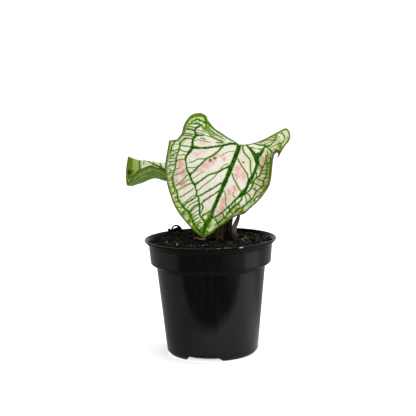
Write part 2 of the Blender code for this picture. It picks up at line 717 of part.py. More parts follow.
def make_tuber(collection):
    """The tuber that the stems grow from, and the cutter for the space that it lies in."""
    skin = new_material("Tuber skin", (0.16, 0.1, 0.06), 0.85)
    mesh = tuber_mesh("tuber", 0, TUBER_KNOB)
    mesh.shade_smooth()
    add_object("tuber", mesh, collection, skin)
    return add_cutter("tuber bed", tuber_mesh("tuber bed", TUBER_KNOB / 2 + GAP, TUBER_KNOB))


for old in list(bpy.data.objects):
    bpy.data.objects.remove(old)
CALADIUM = new_collection("Potted caladium")
CUTTERS = new_collection("Cutters", cutters=True)
make_pot(CALADIUM)
hole_cutters = make_plant(CALADIUM) + [make_tuber(CALADIUM)]
make_soil(CALADIUM, hole_cutters)
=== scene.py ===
"""The looks of a young caladium in its nursery pot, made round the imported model's fixed frame.

Leaves and stems are drawn in mm: the front blade as the viewer sees it, right and up of the aim, the back
blade in plan, and stems in space. Everything else is in metres, with +Z up and -Y towards the viewer.
"""

import math

import bmesh
import bpy
import numpy as np
from mathutils import Matrix, Vector, kdtree, noise
from mathutils.geometry import delaunay_2d_cdt


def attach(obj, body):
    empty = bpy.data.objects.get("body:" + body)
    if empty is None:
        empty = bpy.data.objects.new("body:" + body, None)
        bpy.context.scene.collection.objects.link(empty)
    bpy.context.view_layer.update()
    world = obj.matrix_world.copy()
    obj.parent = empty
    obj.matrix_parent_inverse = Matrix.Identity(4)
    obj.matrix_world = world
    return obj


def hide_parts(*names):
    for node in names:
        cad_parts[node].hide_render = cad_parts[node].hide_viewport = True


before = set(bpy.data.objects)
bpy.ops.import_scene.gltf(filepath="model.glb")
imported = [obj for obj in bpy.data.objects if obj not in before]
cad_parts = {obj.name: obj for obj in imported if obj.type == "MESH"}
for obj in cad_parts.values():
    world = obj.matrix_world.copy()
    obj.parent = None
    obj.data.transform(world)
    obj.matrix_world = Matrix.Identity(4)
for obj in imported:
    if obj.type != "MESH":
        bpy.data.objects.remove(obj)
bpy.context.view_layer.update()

MM = 0.001
GAP = 0.3 * MM

# The viewer's place, and the photograph's field of view
VIEW_AIM = Vector((-0.0014, 0, 0.1196))
VIEW_DISTANCE = 1.0
VIEW_TILT = math.radians(8.13)
VIEW_ROLL = math.radians(-1.26)
LENS = 106.04
SENSOR = 36
CLIP_NEAR = 0.05
CLIP_FAR = 40

# Soft lamps: name, place, aim, size and power
LAMPS = (
    ("Overhead lamp", (0.15, -0.1, 1.3), (0, 0, 0.1), 0.9, 5.5),
    ("Right lamp", (0.9, 0.25, 0.75), (0, 0, 0.08), 0.5, 2.5),
)

# Floor, and the card that reflections show. The floor glows a little all over, which keeps it evenly white,
# and most under the pot's foot ring, where the glow is painted light that lifts the shade under the pot
FLOOR_RADIUS = 14
CARD_RADIUS = 3
CARD_LIFT = 0.6 * MM
DISC_SIDES = 96
CARD_DIM_LEFT = (10 * MM, -80 * MM)
CARD_DIM_BACK = (-30 * MM, 80 * MM)
CARD_DARK_FRONT = (-78 * MM, -104 * MM)
CARD_DARK_WIDTH = 150 * MM
CARD_DARK_SLANT = 0.4
CARD_LIGHT_RIGHT = (50 * MM, 200 * MM)
GLOW_GROWS = (24.5 * MM, 28.5 * MM)
GLOW_FALLS = (35.5 * MM, 39 * MM)
GLOW_UNDER = 0.72
GLOW_AROUND = 0.4

# Pot
POT_HEIGHT = 95 * MM
LIP_RADIUS = 54 * MM
LIP_EDGE = 0.8 * MM
COLLAR_TOP_Z = 90.6 * MM
COLLAR_TOP_RADIUS = 50.5 * MM
COLLAR_FOOT_Z = 75.8 * MM
COLLAR_FOOT_RADIUS = 49.3 * MM
SHOULDER_Z = 72.3 * MM
BODY_TOP_RADIUS = 44.5 * MM
BODY_FOOT_RADIUS = 37.4 * MM
FOOT_ROUNDING = 2.6 * MM
FOOT_RING = 1.6 * MM
WALL = 1.2 * MM
FLOOR_UNDERSIDE_Z = 6.2 * MM
FLOOR_CORNER = 1.5 * MM
CENTRE_PAD_RADIUS = 9 * MM
CENTRE_PAD_SLOPE = 2.5 * MM
CORNER_ROUNDING = 0.8 * MM
CORNER_SHARE = 0.42
CORNER_POINTS = 4
POT_STEPS = 192
SHARP_FROM_DEG = 38
NOTCH_COUNT = 3
NOTCH_FIRST_DEG = -12
NOTCH_HEIGHT = 5.4 * MM
NOTCH_WIDTH_LOW = 31.5 * MM
NOTCH_WIDTH_HIGH = 20.5 * MM
NOTCH_DEPTH = 22 * MM
NOTCH_OVERSHOOT = 7 * MM
NOTCH_ROUNDING = 0.9 * MM
DRAIN_COUNT = 6
DRAIN_RADIUS = 3.2 * MM
DRAIN_CIRCLE = 22 * MM
DRAIN_SIDES = 32

# Heights on the pot's plastic where a look begins and where it is full
LIP_DUSTY = (86 * MM, 93 * MM)
FOOT_DUSTY = (20 * MM, 0)
# Where the lip is darkened towards black as painted shade
LIP_PAINTED_SHADE = (90.5 * MM, 91.5 * MM)
# Where pale patches on the lip's top stand in as painted highlights
LIP_PAINTED_HIGHLIGHTS = (93.6 * MM, 94.8 * MM)
LIP_DULL = (88.2 * MM, 90.5 * MM)
CHAMFER_DULL_FROM_BELOW = (71.2 * MM, 72.2 * MM)
CHAMFER_DULL_FROM_ABOVE = (76.8 * MM, 75.8 * MM)
# A painted glint on the lip's edge, a pale patch that stands in for a highlight: its place, its heights and
# how far from the place it begins
LIP_PAINTED_GLINT = (0.0235, -0.0474, 0.095)
PAINTED_GLINT_HEIGHTS = (93.8 * MM, 94.6 * MM)
PAINTED_GLINT_REACH = (2.6 * MM, 0.8 * MM)

# Soil
SOIL_EDGE_Z = 91.2 * MM
SOIL_CROWN = 0.8 * MM
SOIL_LUMP = 1.5 * MM
SOIL_LUMP_SIZE = 7 * MM
HEAP_CENTRE = Vector((-0.031, 0.040, 0))
HEAP_RADIUS = 19 * MM
HEAP_HEIGHT = 5.2 * MM
SOIL_RADIUS = 50.2 * MM
SOIL_RIM_LIFT = 1.5 * MM
SOIL_SPACING = 0.85 * MM
SOIL_RIM_POINTS = 360
SOIL_BREAK = 0.8 * MM
LUMP_SLICE_Z = 0.35
FINER_LUMPS = 2.3
FINER_LUMP_SHARE = 0.6
# The crumb of the soil's top, in mm
CRUMB_SIZE = 2.6
CRUMB_HEIGHT = 0.55
FINE_CRUMB_SIZE = 1.2
FINE_CRUMB_HEIGHT = 0.35
PIT_SIZE = 4.1
PIT_LEVEL = 0.15
PIT_DEPTH = 2.2

# Grains on the soil by sort: how many, where, the range of sizes in mm, and the half sizes at size 1
GRAIN_SEED = 11
CLODS = 1500
CLOD_INSET = 1.6 * MM
CHIPS = 420
CHIP_INSET = 2.4 * MM
CHIP_SIZES = (0.5, 1.5)
CHIP_SHAPE = (1.5, 0.6, 0.28)
TAN_CHIP_TRIES = 190
TAN_CHIP_MIDDLE = (0.031, 0.008)
TAN_CHIP_SPREAD = (0.01, 0.018)
TAN_CHIP_SIZES = (0.5, 1.3)
TAN_CHIP_SHAPE = (1.4, 0.7, 0.3)
LIP_CRUMBS = 20
LIP_CRUMB_TURNS_DEG = (-86, -73)
LIP_CRUMB_RADII_MM = (52.5, 53.4)
LIP_CRUMB_SIZES = (0.25, 0.6)
LIP_CRUMB_SHAPE = (1.4, 0.8, 0.5)
RIM_CHIPS = 90
RIM_CHIP_INSETS_MM = (1.2, 2.6)
RIM_CHIP_SIZES = (0.4, 0.9)
RIM_CHIP_SHAPE = (1.3, 0.7, 0.4)
LEAF_POINT_CHIPS = 22
LEAF_POINT_RIGHT = (-0.0125, -0.004)
LEAF_POINT_BACK = (0.002, 0.011)
LEAF_POINT_SIZES = (0.8, 1.5)
LEAF_POINT_SHAPE = (1.3, 0.9, 0.5)
SLIVERS = 46
SLIVER_INSET = 6 * MM
SLIVER_LENGTHS = (1.6, 4.2)
SLIVER_SECTION = (0.22, 0.16)
SPECKS = 60
SPECK_INSET = 3 * MM
SPECK_SIZES = (0.25, 0.5)
SPECK_SHAPE = (1, 1, 0.8)
STANDING_SLIVER = (-0.0269, -0.02)
STANDING_SLIVER_SHAPE = (0.4, 0.35, 1.8)
PALE_CRUMBS = ((-0.0265, -0.0068), (-0.0178, -0.0185), (-0.0152, -0.0255), (-0.0262, -0.012),
               (-0.0135, -0.0215))
PALE_CRUMB_SHAPE = (0.6, 0.5, 0.45)
HEAP_CLOD_SHAPE = (1.1, 0.9, 1)
# Clods on the heap, round the loop of root: right, back and size in mm, and how far each is sunk
HEAP_CLODS = (
    (-31.2, 36.6, 0.9, 0.5), (-30, 36.8, 1.1, 0.5), (-28.6, 36.8, 1.3, 0.4), (-27.2, 36.6, 1.5, 0.3),
    (-26, 36.4, 1.6, 0.3), (-34.6, 33, 1.2, -0.6), (-34.4, 33.2, 1.6, 0.4), (-33.2, 33.8, 1.1, 0.4),
    (-36, 31.8, 1, 0.5), (-25.4, 35.6, 0.9, 0.45), (-23.6, 35.4, 0.9, 0.45),
)
# A round place on the heap where the scattered clods are small
HEAP_CLEARING = (-0.0292, 0.036)
HEAP_CLEARING_RADIUS = 6 * MM
HEAP_CLEARING_SIZE = 0.4

# Blades, in mm
MARGIN_SPACING = 2.6
FRONT_WAVE = 0.9
BACK_WAVE = 0.3
MARGIN_WAVE_DEPTH = 9
MARGIN_WAVES = 17
EDGE_SPACING = 0.5
VEIN_SPACING = 0.55
GRID_SPACING = 0.58
VEIN_CLEARANCE = 0.5
GRID_CLEARANCE = 0.66
BLADE_THICKNESS = 0.42
FIELD_REACH = 3.0
LEAST_HALF_WIDTH = 0.02
DARK_SWELL = 0.2
GREEN_SWELL = 0.12
FAINT_SWELL = 0.18
DARK_RIB = 0.95
GREEN_RIB = 0.5
RIB_SPREAD = 1.15
RIB_SKIRT = 0.1
GROOVE = 0.16
GROOVE_WIDTH = 0.5
QUILT = 0.3
QUILT_ROUNDING = 1.1
QUILT_MARGIN = 1.5
EDGE_ROUNDING = 0.14
PATCH_FALL = 0.9
JOINT_DEPTH = 1.3
RUNG_SEED = 7
RUNG_POINTS = 4
RUNG_SWAY = 0.035
RUNG_HALF_WIDTHS = (0, 0.12)
RUNG_SPREAD = (0.6, 1.4)
RUNGS_FROM_OUTER = 0.6

# Margins as runs of points that meet at corners
FRONT_MARGIN = (
    ((25.5, 52), (22, 54.7), (16, 58), (11.4, 61.3), (6.5, 64.3), (2.5, 68.5), (-0.5, 72.5)),
    ((-0.5, 72.5), (-1, 74.7), (-4, 77), (-8, 77.6), (-13.5, 76), (-17.5, 71.5), (-20, 66.5), (-21.5, 61),
     (-25, 56)),
    ((-25, 56), (-31.5, 55)),
    ((-31.5, 55), (-32.5, 49.5), (-34, 41.5), (-35, 33), (-34, 23.5), (-32.2, 15.5), (-28.8, 5),
     (-23.6, -4.5), (-16.8, -13), (-10, -20), (-3.5, -25)),
    ((-3.5, -25), (2.5, -21), (8.5, -16), (14, -12.6), (19.6, -8.4), (24.8, -6.2), (29.8, -4.6),
     (34.7, -0.2), (42.7, 7.3), (49.2, 16.5), (51.3, 22.5), (52.2, 30), (53, 38), (54.2, 43.5),
     (55.7, 46)),
    ((55.7, 46), (57.5, 45.3), (58.2, 42.7)),
    ((58.2, 42.7), (60.2, 46.5), (63.2, 51), (66.6, 55.5), (67.2, 60), (65.4, 64.2), (62.5, 65),
     (58.5, 63), (52, 59.5), (45, 56), (37.5, 53.2), (30.5, 52), (25.5, 52)),
)

# Right, up and depth of points that the front blade's surface passes through
FRONT_DEPTHS = (
    (25.5, 51, 8), (20.5, 38.5, 0), (15, 24, -8), (10, 12, -13), (4, -2, -17), (0, -12, -19),
    (-3.5, -25, -19), (13, 51.5, 7), (3, 49.5, 5), (-8, 49, 4), (-13, 49, 4), (-10, 62, 7), (-8, 72, 12),
    (-8, 77.5, 17), (-1, 74.5, 18), (2, 68, 14), (8, 62.5, 12), (16, 58, 10), (-17.5, 71, 13),
    (-21, 61, 14), (-25, 56, 12), (-31.5, 55, 0), (-32.5, 49, -2), (-27, 50, 3), (-34.5, 40, 0),
    (-35, 33, 3), (-34, 23.5, 6), (-31.5, 14, 5), (-28, 4, 1), (-23, -5, -5), (-16, -13, -11),
    (-9.5, -20, -16), (-18, 40, 1), (-17, 28, 0), (-10, 20, -5), (-7, 8, -10), (-5, -4, -15), (5, 37, -2),
    (33, 51, 9), (37, 44, 6), (41, 40, 7), (40, 32, 3), (36, 25, -2), (30, 15, -7), (23, 5, -12),
    (12, -3, -16), (28, 33, -1), (45, 43.5, 12), (47, 34, 12), (45, 25, 6), (40, 15, 1), (33, 5, -5),
    (25, -1, -10), (54, 43.5, 25), (52.5, 38, 24), (51.5, 30, 22), (50, 22, 17), (48, 16.5, 13),
    (42, 7.5, 6), (34.5, 0, 1), (29.5, -4, -2), (24, -5.5, -6), (19, -7.5, -10), (13.5, -12, -14),
    (8.5, -16, -17), (2.5, -21, -19), (37.5, 53, 22), (45, 56, 33), (52, 59.5, 42), (58.5, 63, 48),
    (62.5, 65, 50), (67, 60, 45), (66.3, 55.5, 40), (63, 51, 34), (60, 46.5, 29), (58, 43, 25),
    (48, 50.5, 21), (54, 54, 29), (58.5, 58, 37),
)
FRONT_JOINT = (24.6, 49)

BACK_MARGIN = (
    ((-64.5, 23.5), (-59, 22.5), (-53.5, 22), (-48.5, 22), (-44, 22), (-39.5, 22.5), (-30, 23),
     (-19.5, 24), (-8.5, 25.5), (0, 28), (5, 31.5), (6.5, 35), (3, 37), (-4, 37.5)),
    ((-4, 37.5), (1, 40), (6, 44), (8, 50), (5, 57), (-3, 62), (-14, 66), (-28, 69), (-42, 69), (-55, 65),
     (-63, 60), (-68.5, 54.5)),
    ((-68.5, 54.5), (-69.5, 47), (-70, 37.5), (-69, 30)),
    ((-69, 30), (-67.5, 26), (-64.5, 23.5)),
)

# Right, back and height of points that the back blade's surface passes through
BACK_HEIGHTS = (
    (-64.5, 23.5, 143), (-59, 22.5, 149), (-53.5, 22, 152), (-48.5, 22, 153), (-44, 22, 152),
    (-39.5, 22.5, 150.5), (-36.5, 22.5, 149), (-30, 23, 146.5), (-19.5, 24, 145.5), (-8.5, 25.5, 148),
    (0, 28, 150), (6, 33, 149), (-68.5, 29, 136), (-65, 28.5, 136), (-59.5, 28, 138.3), (-54, 28, 140.6),
    (-49, 27.5, 143), (-43.5, 27.5, 143.6), (-38.5, 27.5, 141.6), (-30.5, 29, 139), (-19.5, 31, 140),
    (-11, 34, 143.5), (-5, 37, 146.5), (-69.5, 37.5, 143), (-69, 47, 153), (-68, 54, 157.5),
    (-64, 53.5, 156), (-55, 51.5, 154.5), (-41, 49, 152.5), (-30.5, 48, 151.5), (-19.5, 47, 151.5),
    (-9.5, 45, 150.5), (3, 43, 149.5), (-55, 40, 148.5), (-42, 39, 147), (-28, 39, 146), (-16, 39, 146.5),
    (-62, 60, 151), (-55, 65, 145), (-42, 69, 141), (-28, 69, 139), (-14, 66, 139), (-3, 62, 141),
    (5, 57, 144), (8, 50, 147),
)
BACK_JOINT = (-6.5, 38.6)

# Veins: points, some with the half width there, which changes evenly to the next one given and then holds
LEFT_COLLECTOR = ((-18.3, 56.7, 0.6), (-20, 55.5), (-22, 54.2), (-22.8, 52.8), (-23.2, 51, 0.4),
    (-23.5, 48.2), (-24.5, 45), (-25.6, 42), (-25.9, 40, 0.3), (-25.8, 38.8), (-26.5, 36), (-27, 33),
    (-27.3, 31), (-28.2, 28.5, 0.35), (-28.9, 26), (-28.8, 23.5), (-28.5, 20.5), (-27.5, 17, 0.7),
    (-26.2, 15), (-25, 12, 0.45), (-24.7, 9), (-24, 6.5), (-22.5, 4), (-20.3, 1.2, 0.6), (-18.5, -1),
    (-16.5, -2.8), (-15, -4.3, 0.9), (-14.5, -6.5), (-13.3, -8.5, 0.7), (-12.5, -11), (-11.5, -13.5),
    (-9.8, -16), (-7.5, -18.5), (-5.5, -20.5, 0.8))
LEFT_INNER = ((-13, 49.6, 1.2), (-14, 47.3), (-16, 44.8), (-17.6, 42.3, 0.6), (-18.4, 40.3), (-18.2, 38.2),
    (-17.7, 36), (-17.7, 33.5, 0.3), (-17, 31), (-15.6, 28.6), (-14.8, 27, 0.7), (-14.4, 25, 0.5),
    (-13.3, 22.5), (-12.8, 21), (-11, 19.2, 0.8), (-10.6, 18, 0.5), (-10, 15.5, 0.35), (-9.3, 13),
    (-9.2, 10.3), (-7.7, 8.8, 0.45), (-7.8, 7), (-7.4, 5), (-6.9, 2.5), (-6.9, 0), (-6.8, -2.7),
    (-6.8, -4.8, 0.4), (-6.2, -6.5), (-4.8, -8.5), (-3, -11), (-2, -12.5, 0.45))
RIGHT_COLLECTOR = ((47.8, 40, 0.4), (48.5, 36.5), (48.2, 33), (47.8, 30), (47.5, 27.5), (47, 25),
    (46, 23.5), (45.3, 21.5), (45.3, 19), (44, 17.5), (42, 15.5), (40, 13.8), (38.8, 12.5), (37.5, 10),
    (36.5, 8), (35, 6.8), (33.5, 5.5), (32, 4), (30, 2), (28.2, 0.8), (26, -0.6), (24.5, -1), (22.5, -3),
    (21, -4.5), (19, -6.5), (17, -8.5), (14.5, -11), (11, -14), (7, -17), (3, -20), (-1, -22.5, 0.4))
RIGHT_INNER = ((27, 51.8, 0.5), (31, 51.6), (32.5, 50.2), (34, 48.6, 0.7), (35.5, 47), (37, 45.3, 1.2),
    (38.3, 43.3), (39.5, 41, 2), (40, 38.5), (40.3, 36.5, 1.5), (39.3, 33, 0.9), (38.3, 30), (37, 27.3),
    (35.7, 24.5, 1.3), (34.3, 22.8, 1.5), (33, 20.5), (32.3, 18, 0.9), (31, 15.5, 1), (29, 12.5, 1.9),
    (27.5, 11, 1.7), (25, 9, 0.7), (23, 7.2, 0.55), (20.5, 4.8, 0.4), (18, 2), (16, 0.3), (13.5, -1.8),
    (11, -4), (8.5, -5.8), (6, -7.2), (3.5, -8.5, 0.35))
OUTER_COLUMN = ((51, 40, 0.4), (50.8, 35), (50.3, 30), (50, 26), (49.3, 21), (47, 16), (44, 13),
    (41.5, 9.8), (39, 8.5), (37, 6, 0.4))
FRONT_DARK_VEINS = (
    ((25.3, 52, 1.6), (24.6, 48), (22.8, 43), (20.6, 37.5), (18.2, 31.5), (15.6, 25, 1.5), (12.9, 19),
     (10.4, 13), (8.1, 8, 1.3), (6.1, 3), (4, -1.5), (2.6, -6, 1.2), (0.8, -10, 1.5), (-1.6, -13.5, 1.6),
     (-3.2, -18, 1.4), (-4.2, -23, 0.8)),
    ((24, 52.4, 0.8), (18, 52.5), (12, 50.9), (5, 50, 0.5), (-1, 49.1), (-6, 49, 0.6), (-10, 49.3),
     (-13, 49.6, 1.2)),
    ((-13, 49.6, 1), (-12.7, 52, 0.7), (-12.8, 54), (-12.2, 56.3), (-10.8, 58), (-9.8, 59.5),
     (-10.5, 61.5), (-10.6, 63.5), (-9.8, 65.2), (-7.5, 66.5), (-5.3, 67.7, 0.5)),
    ((-9.8, 59.3, 0.6), (-7, 59.3), (-4, 59.3, 0.2)),
    LEFT_INNER,
    ((12.5, 50.8, 0.5), (10, 48.2), (7, 45.2), (3.5, 42.7), (0, 40.9, 0.4), (-1.7, 40), (-4, 37.5),
     (-6.5, 35, 0.35), (-9, 32.7), (-11.5, 30), (-14, 28, 0.5)),
    ((18.5, 34.2, 1.1), (15.5, 33.2, 0.6), (12, 31.7), (8, 29.2, 0.45), (4.5, 28.3), (1, 27.2, 0.35),
     (-2, 25.3), (-5, 23), (-7.5, 21.3), (-9.5, 19.7), (-10.6, 18.6, 0.45)),
    RIGHT_INNER,
    ((39, 42, 1.6), (42, 43.5, 1.5), (44, 46, 1), (45.5, 48.5, 0.6), (46.5, 50), (48.5, 50.7, 0.5),
     (50, 50.8), (51.5, 52, 0.3), (53, 53.7), (54.5, 54.9), (56, 56.3, 0.15)),
    ((40.8, 44, 1.2), (43, 44.5), (44.3, 46.5, 0.6)),
)
FRONT_GREEN_VEINS = (
    ((-5.3, 67.7, 0.4), (-4.5, 65.8), (-2.3, 64.3, 0.25), (0, 62.8), (2.5, 60.8), (5.5, 58.8, 0.05)),
    ((-15.5, 68.5, 0.4), (-12.8, 68.8), (-9.5, 69.2), (-7.8, 68.6), (-6.3, 67.3)),
    ((-13.5, 70, 0.45), (-11.5, 71.2), (-9.3, 72.5), (-8, 72.3), (-6, 71.3), (-4, 70.7), (-2.5, 70),
     (-1.5, 68.5), (-1.3, 67)),
    ((-21, 59.5, 0.7), (-19.6, 63), (-18.9, 66), (-17.6, 69.5), (-15.5, 72.3), (-12.8, 74.3), (-9.5, 75.3),
     (-6, 75.3), (-3.2, 74.6), (-2, 73), (-1.7, 70.5, 0.6)),
    ((-3, 70, 0.7), (0.5, 69), (3, 66.3), (6, 63.9, 0.4), (9, 61.6), (12, 60.5), (18, 56.3), (22, 54.8),
     (24.5, 53, 0.6)),
    ((13.2, 20.8, 0.4), (10, 19.8), (6.5, 17.8), (2.5, 15.2), (-2, 12.7), (-5.5, 10.6), (-8, 9.8),
     (-9.2, 10.2, 0.45), (-11, 8.3), (-13.5, 6.5), (-15.5, 5.2), (-18, 3.5), (-20, 1.2, 0.35)),
    ((10, 14.5, 0.35), (8.5, 13.7), (5, 11.3), (1.5, 9), (-0.5, 7.8), (-4, 5.3), (-5.3, 4.4), (-5, 3),
     (-6.5, 2.8, 0.3)),
    ((-5.2, 4.2, 0.3), (-4.3, 1.5), (-4.3, -0.5), (-5.5, -3), (-6.7, -5)),
    ((2.5, -2, 0.5), (0, -4), (-2, -5), (-4, -6), (-5, -8, 0.4)),
    ((-7.4, 4, 0.45), (-8.5, 3), (-10.5, 1.7), (-12.5, 0), (-14.5, -2.2), (-16, -3)),
    LEFT_COLLECTOR,
    ((-27, 54.8, 0.4), (-27.8, 53), (-28.6, 51.5), (-29.5, 50.5), (-29.7, 48.5), (-30.3, 46.5),
     (-31, 44, 0.3)),
    ((39, 52.3, 0.35), (41, 51.7), (44, 51.3), (46.5, 50.8, 0.6)),
    ((34.5, 49.3, 0.3), (37, 49), (40, 48.5, 0.2), (42, 48.2), (44.5, 47.8, 0.4)),
    ((47.5, 49.5, 0.35), (49.5, 48.3), (51, 46.8), (52, 45.5, 0.3)),
    ((40, 35, 0.6), (42, 35.5), (44.3, 33, 0.4), (45.5, 34.5), (46.5, 36.5), (47.3, 39), (47.3, 41),
     (47.2, 43)),
    ((44.3, 33, 0.45), (43.8, 30.5), (43, 28.5), (42, 26.5), (40.3, 25), (38.5, 23.5), (37.3, 21.8),
     (36.5, 19.5), (36, 17.5), (34.8, 15.5), (33, 13.5), (31.3, 12), (30, 11, 0.5)),
    ((27.7, 9, 0.45), (27.3, 7), (25.8, 4.8), (24.3, 3), (22.7, 2.2), (21, 0.8), (18.5, -1.3),
     (17.5, -3, 0.8), (16, -4.5), (15, -6.5, 0.45), (13.5, -8.5), (12, -9.5), (9.5, -11.5), (7.5, -13)),
    RIGHT_COLLECTOR,
    ((39.3, 25.3, 0.35), (39.8, 27.5), (38.9, 29.8)),
    ((36.2, 21.5, 0.35), (33.7, 19.5)),
    ((59, 46, 0.5), (59.9, 48), (58.6, 50, 0.3), (60, 52.5), (61.5, 54.5), (62.4, 56.5), (62.3, 58.5),
     (61, 60.3, 0.2), (60, 62.3)),
    ((54.2, 59.2, 0.2), (56, 58.9), (58.6, 58, 0.1)),
    ((49, 48.6, 0.4), (51, 47.2), (52, 46.2, 0.35)),
    ((48.3, 46.2, 0.3), (49, 44, 0.5), (48, 42, 0.3)),
    ((57.5, 52, 0.3), (58.6, 53), (60, 52.8)),
    ((22.8, 2, 0.35), (22.3, 4), (22.6, 6.5)),
    ((17.2, 0, 0.4), (18, -1.5)),
    ((-10.7, 63, 0.45), (-13, 63.8), (-16, 64.3), (-18.5, 64.3), (-19.5, 63.5, 0.35)),
    ((5.3, -6.5, 0.35), (6.3, -9), (7.3, -11.8), (7.8, -13)),
)
